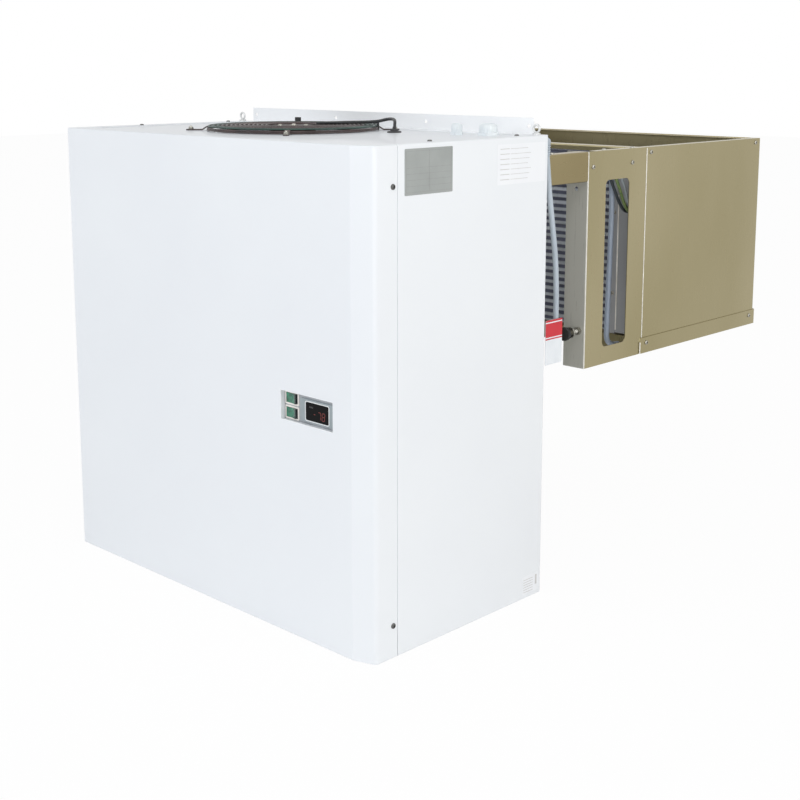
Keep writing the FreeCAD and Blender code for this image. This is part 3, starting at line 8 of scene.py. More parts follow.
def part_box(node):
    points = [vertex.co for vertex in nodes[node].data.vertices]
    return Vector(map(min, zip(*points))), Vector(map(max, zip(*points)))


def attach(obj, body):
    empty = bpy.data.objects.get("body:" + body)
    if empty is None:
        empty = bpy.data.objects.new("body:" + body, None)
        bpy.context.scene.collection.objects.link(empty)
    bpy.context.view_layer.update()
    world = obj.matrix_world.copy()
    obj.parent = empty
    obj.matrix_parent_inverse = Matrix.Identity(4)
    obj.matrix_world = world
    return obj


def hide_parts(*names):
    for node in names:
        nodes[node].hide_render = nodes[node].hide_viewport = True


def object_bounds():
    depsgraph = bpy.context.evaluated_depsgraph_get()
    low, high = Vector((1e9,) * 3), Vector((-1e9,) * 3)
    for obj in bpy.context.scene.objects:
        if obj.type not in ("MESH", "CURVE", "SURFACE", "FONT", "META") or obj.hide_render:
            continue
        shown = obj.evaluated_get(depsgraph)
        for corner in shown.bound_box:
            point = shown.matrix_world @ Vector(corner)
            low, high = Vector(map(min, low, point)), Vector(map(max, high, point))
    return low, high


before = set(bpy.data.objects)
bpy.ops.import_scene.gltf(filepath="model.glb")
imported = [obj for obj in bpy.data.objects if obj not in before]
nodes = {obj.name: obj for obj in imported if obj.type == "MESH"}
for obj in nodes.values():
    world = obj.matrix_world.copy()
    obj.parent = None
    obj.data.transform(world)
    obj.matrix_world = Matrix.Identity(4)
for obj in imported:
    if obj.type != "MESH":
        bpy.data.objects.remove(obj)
cad_low, cad_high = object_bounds()


# Camera. It stands off the front corner on the service side, just above the height of the cabinet's top,
# and looks slightly down. The lens and the shift give the photograph's framing.
camera_data = bpy.data.cameras.new("camera")
camera_data.sensor_width = 36.0
camera_data.lens = 59.8
camera_data.shift_y = -0.14
camera = bpy.data.objects.new("camera", camera_data)
camera.location = (1.8245, -1.8309, 0.2159)
camera.rotation_euler = (math.radians(90 - 9.66), 0, math.radians(44.04))
bpy.context.scene.collection.objects.link(camera)
bpy.context.scene.camera = camera


# Supply lead. A grey PVC-sheathed power lead of 10 mm that leaves an elbow on the cabinet's back and hangs
# down beside the bridge beam. Its bare end is folded into the card tag that is clipped round it.
def linear(red, green, blue):
    """A colour as it looks on a screen, 0 to 255, turned into the renderer's light values."""
    values = []
    for value in (red, green, blue):
        share = value / 255
        values.append(share / 12.92 if share <= 0.04045 else ((share + 0.055) / 1.055) ** 2.4)
    return (*values, 1.0)


def noise_group(name, tones, result, result_kind, detail):
    """Node group with a noise that is stretched along the object's own axes. Returns its ends and the noise too."""
    group = bpy.data.node_groups.new(name, "ShaderNodeTree")
    for socket, kind in [(tone, "Color") for tone in tones] + [("Size", "Float"), ("Stretch", "Vector")]:
        group.interface.new_socket(socket, in_out="INPUT", socket_type="NodeSocket" + kind)
    group.interface.new_socket(result, in_out="OUTPUT", socket_type="NodeSocket" + result_kind)
    start = group.nodes.new("NodeGroupInput")
    end = group.nodes.new("NodeGroupOutput")
    place = group.nodes.new("ShaderNodeTexCoord")
    stretch = group.nodes.new("ShaderNodeVectorMath")
    stretch.operation = "MULTIPLY"
    noise = group.nodes.new("ShaderNodeTexNoise")
    noise.inputs["Detail"].default_value = detail
    group.links.new(place.outputs["Object"], stretch.inputs[0])
    group.links.new(start.outputs["Stretch"], stretch.inputs[1])
    group.links.new(stretch.outputs["Vector"], noise.inputs["Vector"])
    group.links.new(start.outputs["Size"], noise.inputs["Scale"])
    return group, start, end, noise


def build_surface_grain():
    """Fine unevenness of a surface: a mask from 0 to 1."""
    group, _, end, noise = noise_group("surface_grain", (), "Mask", "Float", 3.0)
    group.links.new(noise.outputs["Fac"], end.inputs["Mask"])
    return group


def build_tone_drift():
    """Slow change between two tones of one finish, as on rolled sheet, paint or moulded parts."""
    group, start, end, noise = noise_group("tone_drift", ("Light Tone", "Dark Tone"), "Color", "Color", 4.0)
    spread = group.nodes.new("ShaderNodeMapRange")
    spread.inputs["From Min"].default_value = 0.3
    spread.inputs["From Max"].default_value = 0.7
    mix = group.nodes.new("ShaderNodeMix")
    mix.data_type = "RGBA"
    group.links.new(noise.outputs["Fac"], spread.inputs["Value"])
    group.links.new(spread.outputs["Result"], mix.inputs["Factor"])
    group.links.new(start.outputs["Dark Tone"], mix.inputs["A"])
    group.links.new(start.outputs["Light Tone"], mix.inputs["B"])
    group.links.new(mix.outputs["Result"], end.inputs["Color"])
    return group


surface_grain = build_surface_grain()
tone_drift = build_tone_drift()


def finish(name, light, dark, rough, drift, drift_stretch=(1, 1, 1), grain=900.0, grain_stretch=(1, 1, 1),
           bump=0.05, depth=0.0004, metallic=0.0, coat=0.0):
    """Material of one finish: two screen colours that drift, uneven gloss, and a fine relief."""
    made = bpy.data.materials.new(name)
    made.use_nodes = True
    tree = made.node_tree
    shader = tree.nodes["Principled BSDF"]
    shader.inputs["Metallic"].default_value = metallic
    shader.inputs["IOR"].default_value = 1.5
    shader.inputs["Coat Weight"].default_value = coat
    tones = tree.nodes.new("ShaderNodeGroup")
    tones.node_tree = tone_drift
    tones.inputs["Light Tone"].default_value = linear(*light)
    tones.inputs["Dark Tone"].default_value = linear(*dark)
    tones.inputs["Size"].default_value = drift
    tones.inputs["Stretch"].default_value = drift_stretch
    tree.links.new(tones.outputs["Color"], shader.inputs["Base Color"])
    relief = tree.nodes.new("ShaderNodeGroup")
    relief.node_tree = surface_grain
    relief.inputs["Size"].default_value = grain
    relief.inputs["Stretch"].default_value = grain_stretch
    gloss = tree.nodes.new("ShaderNodeMapRange")
    gloss.inputs["To Min"].default_value = rough[0]
    gloss.inputs["To Max"].default_value = rough[1]
    tree.links.new(relief.outputs["Mask"], gloss.inputs["Value"])
    tree.links.new(gloss.outputs["Result"], shader.inputs["Roughness"])
    raised = tree.nodes.new("ShaderNodeBump")
    raised.inputs["Strength"].default_value = bump
    raised.inputs["Distance"].default_value = depth
    tree.links.new(relief.outputs["Mask"], raised.inputs["Height"])
    tree.links.new(raised.outputs["Normal"], shader.inputs["Normal"])
    return made


def dress(node, material):
    """Gives a CAD node its finish."""
    piece = nodes[node]
    if not piece.material_slots:
        piece.data.materials.append(material)
    for place in piece.material_slots:
        place.material = material


def add_piece(name, bm, material, body="unit", stands_for=(), smooth=40):
    """Links a finished mesh as a piece that rides on a body."""
    mesh = bpy.data.meshes.new(name)
    bmesh.ops.remove_doubles(bm, verts=bm.verts, dist=1e-6)
    bmesh.ops.recalc_face_normals(bm, faces=bm.faces)
    bm.to_mesh(mesh)
    bm.free()
    if smooth:
        mesh.shade_smooth()
        mesh.set_sharp_from_angle(angle=math.radians(smooth))
    piece = bpy.data.objects.new(name, mesh)
    bpy.context.scene.collection.objects.link(piece)
    for each in material if isinstance(material, (list, tuple)) else [material]:
        mesh.materials.append(each)
    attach(piece, body)
    if stands_for:
        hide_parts(*stands_for)
    return piece


def aim(start, direction):
    """Turns local +Z towards a direction, with its origin at start."""
    return Matrix.Translation(start) @ Vector(direction).to_track_quat("Z", "Y").to_matrix().to_4x4()


def lathe(bm, profile, place, sides, flutes=0, flute_depth=0.0, flute_span=(0, 0), closed=False):
    """Turned form from (radius, height) points. Flutes press the rim inwards between two heights."""
    rings = []
    for radius, height in profile:
        ring = []
        for k in range(sides):
            angle = 2 * math.pi * k / sides
            reach = radius
            if flutes and flute_span[0] <= height <= flute_span[1]:
                reach -= flute_depth * (0.5 + 0.5 * math.cos(flutes * angle))
            ring.append(bm.verts.new(place @ Vector((reach * math.cos(angle), reach * math.sin(angle), height))))
        rings.append(ring)
    pairs = list(zip(rings, rings[1:]))
    if closed:
        pairs.append((rings[-1], rings[0]))
    for low, high in pairs:
        for k in range(sides):
            bm.faces.new((low[k], low[(k + 1) % sides], high[(k + 1) % sides], high[k]))
    if not closed:
        bm.faces.new(rings[0][::-1])
        bm.faces.new(rings[-1])


lead_route = [(0.3972, 0.0125, 0.0553), (0.3972, 0.0172, 0.0200), (0.3972, 0.0230, -0.0200),
              (0.3972, 0.0337, -0.0760), (0.3972, 0.0427, -0.1280), (0.3972, 0.0470, -0.1840),
              (0.3972, 0.0475, -0.2360), (0.3972, 0.0463, -0.2800), (0.3972, 0.0442, -0.3140)]
lead_diameter = 0.010


def smooth_line(name, points, radius, material):
    """Round cord, wire or hose on a smooth curve through a few chosen points."""
    data = bpy.data.curves.new(name, "CURVE")
    data.dimensions = "3D"
    data.bevel_depth = radius
    data.bevel_resolution = 6
    data.use_fill_caps = True
    data.resolution_u = 10
    spline = data.splines.new("NURBS")
    spline.points.add(len(points) - 1)
    for point, place in zip(spline.points, points):
        point.co = (*place, 1.0)
    spline.use_endpoint_u = True
    spline.order_u = 3
    data.materials.append(material)
    line = bpy.data.objects.new(name, data)
    bpy.context.scene.collection.objects.link(line)
    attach(line, "unit")
    return line


sheath_grey = finish("sheath_grey", (186, 196, 205), (169, 179, 188), rough=(0.42, 0.55), drift=14, grain=700,
                     bump=0.08)
supply_lead = smooth_line("supply_lead_cord", lead_route, lead_diameter / 2, sheath_grey)
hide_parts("supply_lead")


# Strain relief. A moulded grey elbow on the cabinet's back, of the same PVC as the lead. It has ribs that let it
# bend and tapers down along the lead.
mouth = Vector(lead_route[0])
lead_down = (Vector(lead_route[1]) - mouth).normalized()
relief_taper = 0.024
relief_root = mouth - lead_down * relief_taper
relief_radius = 0.0082
relief = bmesh.new()
boss_profile = [(0.0, 0.0), (0.0096, 0.0), (0.0096, 0.0025), (relief_radius, 0.0030), (relief_radius, relief_root.y),
                (0.0078, relief_root.y + 0.0025), (0.0064, relief_root.y + 0.0055), (0.0038, relief_root.y + 0.0074),
                (0.0, relief_root.y + 0.0082)]
lathe(relief, boss_profile, aim((relief_root.x, 0, relief_root.z), (0, 1, 0)), sides=36)
taper_profile = [(0.0, -0.0070), (0.0060, -0.0055), (0.0080, -0.0015), (0.0080, 0.0015)]
rib_count = 5
rib_pitch = 0.0042
rib_height = 0.0012
for k in range(rib_count):
    low = 0.0025 + k * rib_pitch
    radius = relief_radius - 0.0018 * (k + 1) / rib_count
    taper_profile += [(radius - rib_height, low), (radius, low + 0.0008), (radius, low + 0.0026),
                      (radius - rib_height, low + 0.0034)]
taper_profile += [(0.0064, relief_taper), (0.0, relief_taper)]
lathe(relief, taper_profile, aim(relief_root, lead_down), sides=36)
relief_piece = add_piece("lead_strain_relief", relief, sheath_grey, stands_for=["lead_gland"])


# Card tag. A white laminated card with a red band along its top, broken by two fine white lines. A rolled sleeve
# grips it round the lead's last stretch.
tag_low, tag_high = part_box("lead_tag")
card_white = finish("card_white", (236, 240, 244), (226, 231, 236), rough=(0.3, 0.4), drift=30, grain=500)
card_red = finish("card_red", (206, 28, 44), (192, 22, 38), rough=(0.28, 0.38), drift=30, grain=500)
band_share = 0.44
card_thickness = 0.0008
card_inset, card_shift, card_rise = 0.0024, 0.0055, 0.005
card_x = tag_high.x - card_inset - card_thickness
card_start = tag_low.y - card_shift
card_foot = tag_low.z + card_rise
columns = 10
corner = 0.003
card_levels = [0.0, 0.03, 1 - band_share, 1 - band_share + 0.03, 1 - band_share + 0.055, 0.93, 0.955, 0.985, 1.0]
fine_lines = (3, 5)
card = bmesh.new()
sheets = []
for side in (0, 1):
    grid = []
    for level in card_levels:
        row = []
        for k in range(columns + 1):
            across = k / columns
            y = card_start + (tag_high.y - tag_low.y) * across
            z = card_foot + (tag_high.z - card_foot) * level
            if level in (0.0, 1.0) and across in (0.0, 1.0):
                y += corner * (0.5 - across)
            bow = -0.0005 * math.sin(math.pi * across) * (1 - level)
            row.append(card.verts.new((card_x + bow + card_thickness * side, y, z)))
        grid.append(row)
    sheets.append(grid)
for grid in sheets:
    for j in range(len(card_levels) - 1):
        in_band = (card_levels[j] + card_levels[j + 1]) / 2 > 1 - band_share
        for k in range(columns):
            face = card.faces.new((grid[j][k], grid[j][k + 1], grid[j + 1][k + 1], grid[j + 1][k]))
            face.material_index = 1 if in_band and j not in fine_lines else 0


def border(grid):
    """The outer points of a grid of rows, once round."""
    line = grid[0] + [row[-1] for row in grid[1:]]
    return line + grid[-1][-2::-1] + [row[0] for row in grid[-2:0:-1]]


rim_back, rim = [border(grid) for grid in sheets]
for k in range(len(rim)):
    n = (k + 1) % len(rim)
    card.faces.new((rim[k], rim[n], rim_back[n], rim_back[k]))
sleeve_end = Vector(lead_route[-1])
sleeve_start = Vector(lead_route[-2]).lerp(sleeve_end, 0.2)
sleeve_length = (sleeve_end - sleeve_start).length
sleeve_bore, sleeve_radius = 0.0053, 0.0064
lathe(card, [(sleeve_bore, 0.0), (sleeve_radius, 0.0), (sleeve_radius, sleeve_length), (sleeve_bore, sleeve_length)],
      aim(sleeve_start, sleeve_end - sleeve_start), sides=32, closed=True)
tag_piece = add_piece("lead_card_tag", card, [card_white, card_red], stands_for=["lead_tag"])


# Studio. A pale floor at the cabinet's foot and a white surround, soft light from both sides and above, and a
# broad light near the camera that lies along the folded edges of the steel.
def seen_rays(tree):
    """1 where the camera looks at a thing, straight, mirrored or through another one, 0 where it only gives light."""
    rays = tree.nodes.new("ShaderNodeLightPath")
    found = rays.outputs["Is Camera Ray"]
    for kind in ("Is Glossy Ray", "Is Transmission Ray"):
        either = tree.nodes.new("ShaderNodeMath")
        either.operation = "MAXIMUM"
        tree.links.new(found, either.inputs[0])
        tree.links.new(rays.outputs[kind], either.inputs[1])
        found = either.outputs["Value"]
    return found


floor_level = cad_low.z
reach = 14
floor_mesh = bpy.data.meshes.new("studio_floor")
floor_mesh.from_pydata([(-reach, -reach, floor_level), (reach, -reach, floor_level), (reach, reach, floor_level),
                        (-reach, reach, floor_level)], [], [(0, 1, 2, 3)])
studio_floor = bpy.data.objects.new("studio_floor", floor_mesh)
bpy.context.scene.collection.objects.link(studio_floor)
floor_white = bpy.data.materials.new("floor_white")
floor_white.use_nodes = True
floor_tree = floor_white.node_tree
floor_shader = floor_tree.nodes["Principled BSDF"]
floor_shader.inputs["Base Color"].default_value = linear(250, 250, 250)
floor_shader.inputs["Roughness"].default_value = 0.9
floor_glow = floor_tree.nodes.new("ShaderNodeEmission")
floor_glow.inputs["Strength"].default_value = 1.0
floor_mix = floor_tree.nodes.new("ShaderNodeMixShader")
glow_share = floor_tree.nodes.new("ShaderNodeMath")
glow_share.operation = "MULTIPLY"
glow_share.inputs[1].default_value = 0.96
floor_tree.links.new(seen_rays(floor_tree), glow_share.inputs[0])
floor_tree.links.new(glow_share.outputs["Value"], floor_mix.inputs["Fac"])
floor_tree.links.new(floor_shader.outputs["BSDF"], floor_mix.inputs[1])
floor_tree.links.new(floor_glow.outputs["Emission"], floor_mix.inputs[2])
floor_tree.links.new(floor_mix.outputs["Shader"], floor_tree.nodes["Material Output"].inputs["Surface"])
floor_mesh.materials.append(floor_white)

studio_world = bpy.data.worlds.new("studio_world")
bpy.context.scene.world = studio_world
studio_world.use_nodes = True
world_tree = studio_world.node_tree
surround = world_tree.nodes["Background"]
surround.inputs["Color"].default_value = (0.97, 0.98, 1.0, 1.0)
surround.inputs["Strength"].default_value = 0.50
white_surround = world_tree.nodes.new("ShaderNodeBackground")
white_surround.inputs["Color"].default_value = (1, 1, 1, 1)
white_surround.inputs["Strength"].default_value = 1.0
world_mix = world_tree.nodes.new("ShaderNodeMixShader")
world_tree.links.new(seen_rays(world_tree), world_mix.inputs["Fac"])
world_tree.links.new(surround.outputs["Background"], world_mix.inputs[1])
world_tree.links.new(white_surround.outputs["Background"], world_mix.inputs[2])
world_tree.links.new(world_mix.outputs["Shader"], world_tree.nodes["World Output"].inputs["Surface"])


def soft_light(name, place, target, size, power, colour=(1, 1, 1)):
    """Square soft box that faces a point."""
    data = bpy.data.lights.new(name, "AREA")
    data.shape = "SQUARE"
    data.size = size
    data.energy = power
    data.color = colour
    lamp = bpy.data.objects.new(name, data)
    lamp.location = place
    lamp.rotation_euler = (Vector(target) - Vector(place)).to_track_quat("-Z", "Y").to_euler()
    bpy.context.scene.collection.objects.link(lamp)


object_middle = (0, 0.1, -0.3)
soft_light("front_light", (-1.6, -4.2, 1.6), object_middle, 2.6, 56, (0.94, 0.97, 1.0))
soft_light("side_light", (4.4, 0.6, 1.4), object_middle, 2.4, 49, (1.0, 0.98, 0.92))
soft_light("camera_light", (2.7, -2.8, -0.1), (0.4, 0.1, -0.1), 1.6, 26)
soft_light("deck_light", (1.4, -0.9, 1.6), (0.40, 0.0, 0.1), 0.6, 6)

bpy.context.scene.view_settings.view_transform = "Standard"


# Painted panels. Cover, sides, deck and hanging flange are folded steel sheet with a bluish white powder coat,
# which has a very fine orange-peel relief. The flange's coat is a tone whiter, painted light for the bright light on
# its face.
coat_white = finish("coat_white", (237, 240, 243), (233, 236, 240), rough=(0.36, 0.46), drift=2.2, grain=420,
                    depth=0.0003, coat=0.15)
white_painted_light = finish("white_painted_light", (252, 253, 254), (248, 250, 252), rough=(0.36, 0.46), drift=2.2,
                      grain=420, depth=0.0003, coat=0.15)
for node in ("front_cover", "side_panel_right", "side_panel_left", "top_panel"):
    dress(node, coat_white)
dress("hanging_flange", white_painted_light)


# Zinc-coated sheet. Base pan, shroud, inlet ring, electrical box and control plate are not painted. The two
# sheets of the back are a paler, less metallic zinc: painted light for the narrow gap behind the cabinet, which the
# neck's front flanges mirror.
zinc_sheet = finish("zinc_sheet", (190, 194, 198), (164, 169, 174), rough=(0.38, 0.6), drift=55, grain=120,
                    bump=0.06, metallic=0.7)
back_zinc_painted_light = finish("back_zinc_painted_light", (206, 207, 204), (190, 191, 188), rough=(0.5, 0.7), drift=40, grain=150,
                   bump=0.06, metallic=0.15)
for node in ("base_pan", "condenser_shroud", "condenser_fan_ring", "electrical_box", "control_plate"):
    dress(node, zinc_sheet)
dress("back_panel", back_zinc_painted_light)


# Stainless sheet. Bridge beams, neck, box, cross bar and tray are bare cold-rolled steel, whose warm
# grey-olive colour is a painted reflection of what stands round it. The beams are a tone darker. The neck's front
# flanges take a pale neutral grey and little metal instead, painted light for the light they catch, and the coil's
# end plates are matt and neutral.
def build_finish_change():
    """Change from one colour to another between two places along a direction, and the mask of that change."""
    group = bpy.data.node_groups.new("finish_change", "ShaderNodeTree")
    for socket, kind in (("First Color", "Color"), ("Second Color", "Color"), ("Direction", "Vector"),
                         ("Start", "Float"), ("End", "Float"), ("Least", "Float")):
        group.interface.new_socket(socket, in_out="INPUT", socket_type="NodeSocket" + kind)
    for socket, kind in (("Color", "Color"), ("Mask", "Float")):
        group.interface.new_socket(socket, in_out="OUTPUT", socket_type="NodeSocket" + kind)
    start = group.nodes.new("NodeGroupInput")
    end = group.nodes.new("NodeGroupOutput")
    place = group.nodes.new("ShaderNodeTexCoord")
    along = group.nodes.new("ShaderNodeVectorMath")
    along.operation = "DOT_PRODUCT"
    share = group.nodes.new("ShaderNodeMapRange")
    mix = group.nodes.new("ShaderNodeMix")
    mix.data_type = "RGBA"
    group.links.new(place.outputs["Object"], along.inputs[0])
    group.links.new(start.outputs["Direction"], along.inputs[1])
    group.links.new(along.outputs["Value"], share.inputs["Value"])
    group.links.new(start.outputs["Start"], share.inputs["From Min"])
    group.links.new(start.outputs["End"], share.inputs["From Max"])
    group.links.new(start.outputs["Least"], share.inputs["To Min"])
    group.links.new(share.outputs["Result"], mix.inputs["Factor"])
    group.links.new(start.outputs["First Color"], mix.inputs["A"])
    group.links.new(start.outputs["Second Color"], mix.inputs["B"])
    group.links.new(mix.outputs["Result"], end.inputs["Color"])
    group.links.new(share.outputs["Result"], end.inputs["Mask"])
    return group


finish_change = build_finish_change()


def change_finish(material, direction, span, other, own, least=0.0):
    """Gives a finish another colour on one side of a span along a direction. Own is the side it keeps."""
    tree = material.node_tree
    shader = tree.nodes["Principled BSDF"]
    change = tree.nodes.new("ShaderNodeGroup")
    change.node_tree = finish_change
    change.inputs["Direction"].default_value = direction
    change.inputs["Start"].default_value = span[0]
    change.inputs["End"].default_value = span[1]
    change.inputs["Least"].default_value = least
    change.inputs["First Color" if own == "Second Color" else "Second Color"].default_value = linear(*other)
    tree.links.new(shader.inputs["Base Color"].links[0].from_socket, change.inputs[own])
    tree.links.new(change.outputs["Color"], shader.inputs["Base Color"])
    return change


steel_plain = finish("steel_plain", (172, 162, 130), (156, 146, 111), rough=(0.24, 0.34), drift=2.4,
                     drift_stretch=(1, 1, 0.5), grain=60, grain_stretch=(8, 8, 0.3), bump=0.03, metallic=1.0)
steel_neutral = finish("steel_neutral", (184, 185, 188), (167, 168, 172), rough=(0.3, 0.4), drift=3, grain=60,
                       grain_stretch=(8, 8, 0.3), bump=0.03, metallic=0.4)
neck_steel = finish("neck_steel", (172, 162, 130), (156, 146, 111), rough=(0.24, 0.34), drift=2.4,
                    drift_stretch=(1, 1, 0.5), grain=60, grain_stretch=(8, 8, 0.3), bump=0.03)
# Painted light: on the neck's front flanges, in front of flange_end, the colour turns pale neutral grey and the metal
# drops to 0.15.
flange_end = (0.1472, 0.1480)
flange_painted_light = change_finish(neck_steel, (0, 1, 0), flange_end, (194, 194, 188), "Second Color", least=0.15)
neck_tree = neck_steel.node_tree
neck_tree.links.new(flange_painted_light.outputs["Mask"], neck_tree.nodes["Principled BSDF"].inputs["Metallic"])
steel_beam = finish("steel_beam", (160, 147, 112), (140, 127, 92), rough=(0.24, 0.34), drift=2.4, grain=60,
                    grain_stretch=(8, 0.3, 8), bump=0.03, metallic=1.0)
dress("bridge_beams", steel_beam)
for node in ("box_sides", "fan_wall", "cross_bar", "drain_tray"):
    dress(node, steel_plain)
for node in ("neck_side_right", "neck_side_left"):
    dress(node, neck_steel)
dress("evaporator_end_plates", steel_neutral)


# Pipework. Copper pipes, bends and header, a brass expansion valve, black foam on the suction line and a pale
# sleeve on the line that keeps the tray free of ice.
copper_dull = finish("copper_dull", (205, 130, 96), (160, 92, 66), rough=(0.25, 0.45), drift=40, grain=200,
                     bump=0.04, metallic=1.0)
brass_turned = finish("brass_turned", (205, 175, 105), (180, 150, 85), rough=(0.2, 0.35), drift=60,
                      metallic=1.0)
foam_black = finish("foam_black", (38, 38, 40), (26, 26, 28), rough=(0.7, 0.9), drift=40, bump=0.5)
sleeve_pale = finish("sleeve_pale", (168, 180, 196), (146, 158, 176), rough=(0.35, 0.5), drift=12, grain=400)
for node in ("condenser_coil_ends", "filter_drier", "liquid_line", "discharge_line", "evaporator_bends",
             "suction_header"):
    dress(node, copper_dull)
dress("expansion_valve", brass_turned)
dress("suction_line", foam_black)
heating_route = [(0.347, -0.030, 0.030), (0.347, 0.190, 0.030), (0.347, 0.276, 0.030), (0.347, 0.284, -0.040),
                 (0.347, 0.281, -0.160), (0.347, 0.277, -0.280), (0.347, 0.276, -0.333), (0.347, 0.316, -0.333)]
sleeve_outside = 0.0052
heating_line = smooth_line("heating_line_sleeve", heating_route, sleeve_outside, sleeve_pale)
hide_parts("tray_heating_line")


# Evaporator coil. Thin aluminium fins, pressed deeper between the tube rows, on copper tubes that run through
# from end plate to end plate and are widened to hold them. The condenser's block has fins of the same kind, which
# keep the part's shape and only take a finish.
def bar(bm, points, width, height, up=(0, 0, 1), sides=10, squareness=1.0, closed=False):
    """Wire or flat bar along points: width across, height towards up, corners squarer below 1."""
    rings = []
    last = len(points) - 1
    for k, point in enumerate(points):
        before = points[k - 1] if k or closed else point
        after = points[(k + 1) % len(points)] if k < last or closed else point
        along = (Vector(after) - Vector(before)).normalized()
        across = along.cross(Vector(up)).normalized()
        lift = across.cross(along)
        ring = []
        for j in range(sides):
            angle = 2 * math.pi * (j + 0.5) / sides
            a = math.copysign(abs(math.cos(angle)) ** squareness, math.cos(angle))
            b = math.copysign(abs(math.sin(angle)) ** squareness, math.sin(angle))
            ring.append(bm.verts.new(Vector(point) + across * (a * width / 2) + lift * (b * height / 2)))
        rings.append(ring)
    pairs = list(zip(rings, rings[1:]))
    if closed:
        pairs.append((rings[-1], rings[0]))
    else:
        bm.faces.new(rings[0])
        bm.faces.new(rings[-1][::-1])
    for low, high in pairs:
        for j in range(sides):
            bm.faces.new((low[j], low[(j + 1) % sides], high[(j + 1) % sides], high[j]))


fin_metal = finish("fin_metal", (176, 182, 196), (128, 134, 150), rough=(0.3, 0.45), drift=30, grain=400,
                   bump=0.1, metallic=0.9)
# Painted light and shade on the evaporator's fins: a near white, hardly metallic colour with darker bands every 13.7
# mm up the coil.
fin_painted_bands = finish("fin_painted_bands", (238, 242, 245), (224, 229, 237), rough=(0.35, 0.5), drift=40, grain=400,
                   bump=0.1, metallic=0.1)
shade_band_pitch = 0.0137
fin_tree = fin_painted_bands.node_tree
fin_shader = fin_tree.nodes["Principled BSDF"]
fin_tones = fin_shader.inputs["Base Color"].links[0].from_socket
fin_place = fin_tree.nodes.new("ShaderNodeTexCoord")
fin_axes = fin_tree.nodes.new("ShaderNodeSeparateXYZ")
fin_waves = fin_tree.nodes.new("ShaderNodeMath")
fin_waves.operation = "MULTIPLY"
fin_waves.inputs[1].default_value = 2 * math.pi / shade_band_pitch
fin_swing = fin_tree.nodes.new("ShaderNodeMath")
fin_swing.operation = "SINE"
fin_share = fin_tree.nodes.new("ShaderNodeMapRange")
fin_share.inputs["From Min"].default_value = -0.35
fin_share.inputs["From Max"].default_value = 0.45
fin_mix = fin_tree.nodes.new("ShaderNodeMix")
fin_mix.data_type = "RGBA"
# Painted shade: the colour of the dark bands.
fin_mix.inputs["A"].default_value = linear(118, 121, 140)
fin_tree.links.new(fin_place.outputs["Object"], fin_axes.inputs["Vector"])
fin_tree.links.new(fin_axes.outputs["Z"], fin_waves.inputs[0])
fin_tree.links.new(fin_waves.outputs["Value"], fin_swing.inputs[0])
fin_tree.links.new(fin_swing.outputs["Value"], fin_share.inputs["Value"])
fin_tree.links.new(fin_share.outputs["Result"], fin_mix.inputs["Factor"])
fin_tree.links.new(fin_tones, fin_mix.inputs["B"])
fin_tree.links.new(fin_mix.outputs["Result"], fin_shader.inputs["Base Color"])
coil_low, coil_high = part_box("evaporator_fins")
row_pitch = 0.0254
row_count = 14
fin_pitch = 0.0036
fin_sheet = 0.00045
fin_recess = 0.003
flat_half, press_half = 0.0060, 0.0110
tube_diameter = 0.0095
tube_inset = 0.018
row_levels = [coil_low.z + row_pitch * (k + 0.5) for k in range(row_count)]
fins = bmesh.new()
fin_edge = []
for z in row_levels:
    fin_edge += [(z - press_half, fin_recess), (z - flat_half, 0.0), (z + flat_half, 0.0),
                 (z + press_half, fin_recess)]
fin_outline = [(coil_low.y + inset, z) for z, inset in fin_edge]
fin_outline += [(coil_high.y - inset, z) for z, inset in reversed(fin_edge)]
for k in range(int((coil_high.x - coil_low.x) / fin_pitch)):
    x = coil_low.x + fin_pitch * (k + 0.5)
    left = [fins.verts.new((x - fin_sheet, y, z)) for y, z in fin_outline]
    right = [fins.verts.new((x + fin_sheet, y, z)) for y, z in fin_outline]
    fins.faces.new(left)
    fins.faces.new(right[::-1])
    for j in range(len(fin_outline)):
        n = (j + 1) % len(fin_outline)
        fins.faces.new((left[n], left[j], right[j], right[n]))
add_piece("coil_fins", fins, fin_painted_bands, stands_for=["evaporator_fins"], smooth=0)
tubes = bmesh.new()
for z in row_levels:
    for y in (coil_low.y + tube_inset, coil_high.y - tube_inset):
        bar(tubes, [(coil_low.x + 0.001, y, z), (coil_high.x - 0.001, y, z)], tube_diameter, tube_diameter, sides=14)
add_piece("coil_tubes", tubes, copper_dull)
dress("condenser_fins", fin_metal)


# Painted fold highlights. Where the stainless sheet is folded, a slim pale bar along the fold is a painted highlight
# for the light its rounded edge catches: on the neck's front, the box's front, the tray's front corner and the
# flanges of the coil's end plates.
fold_highlight_paint = finish("fold_highlight_paint", (244, 242, 236), (224, 221, 212), rough=(0.25, 0.35), drift=30, grain=300,
                     metallic=0.1)
edges = bmesh.new()
edge_lines = [(0.3893, 0.1456, -0.3480, 0.0530, 0.0024), (0.3899, 0.3332, -0.3170, 0.0530, 0.0022),
              (0.3915, 0.3268, -0.3480, -0.3260, 0.0024), (0.3345, 0.3238, -0.3080, -0.0400, 0.0026)]
for side in (-1, 1):
    for x, y, foot, top, wide in edge_lines:
        bar(edges, [(side * x, y, foot), (side * x, y, top)], wide, wide, up=(1, 0, 0))
add_piece("painted_fold_highlights", edges, fold_highlight_paint)


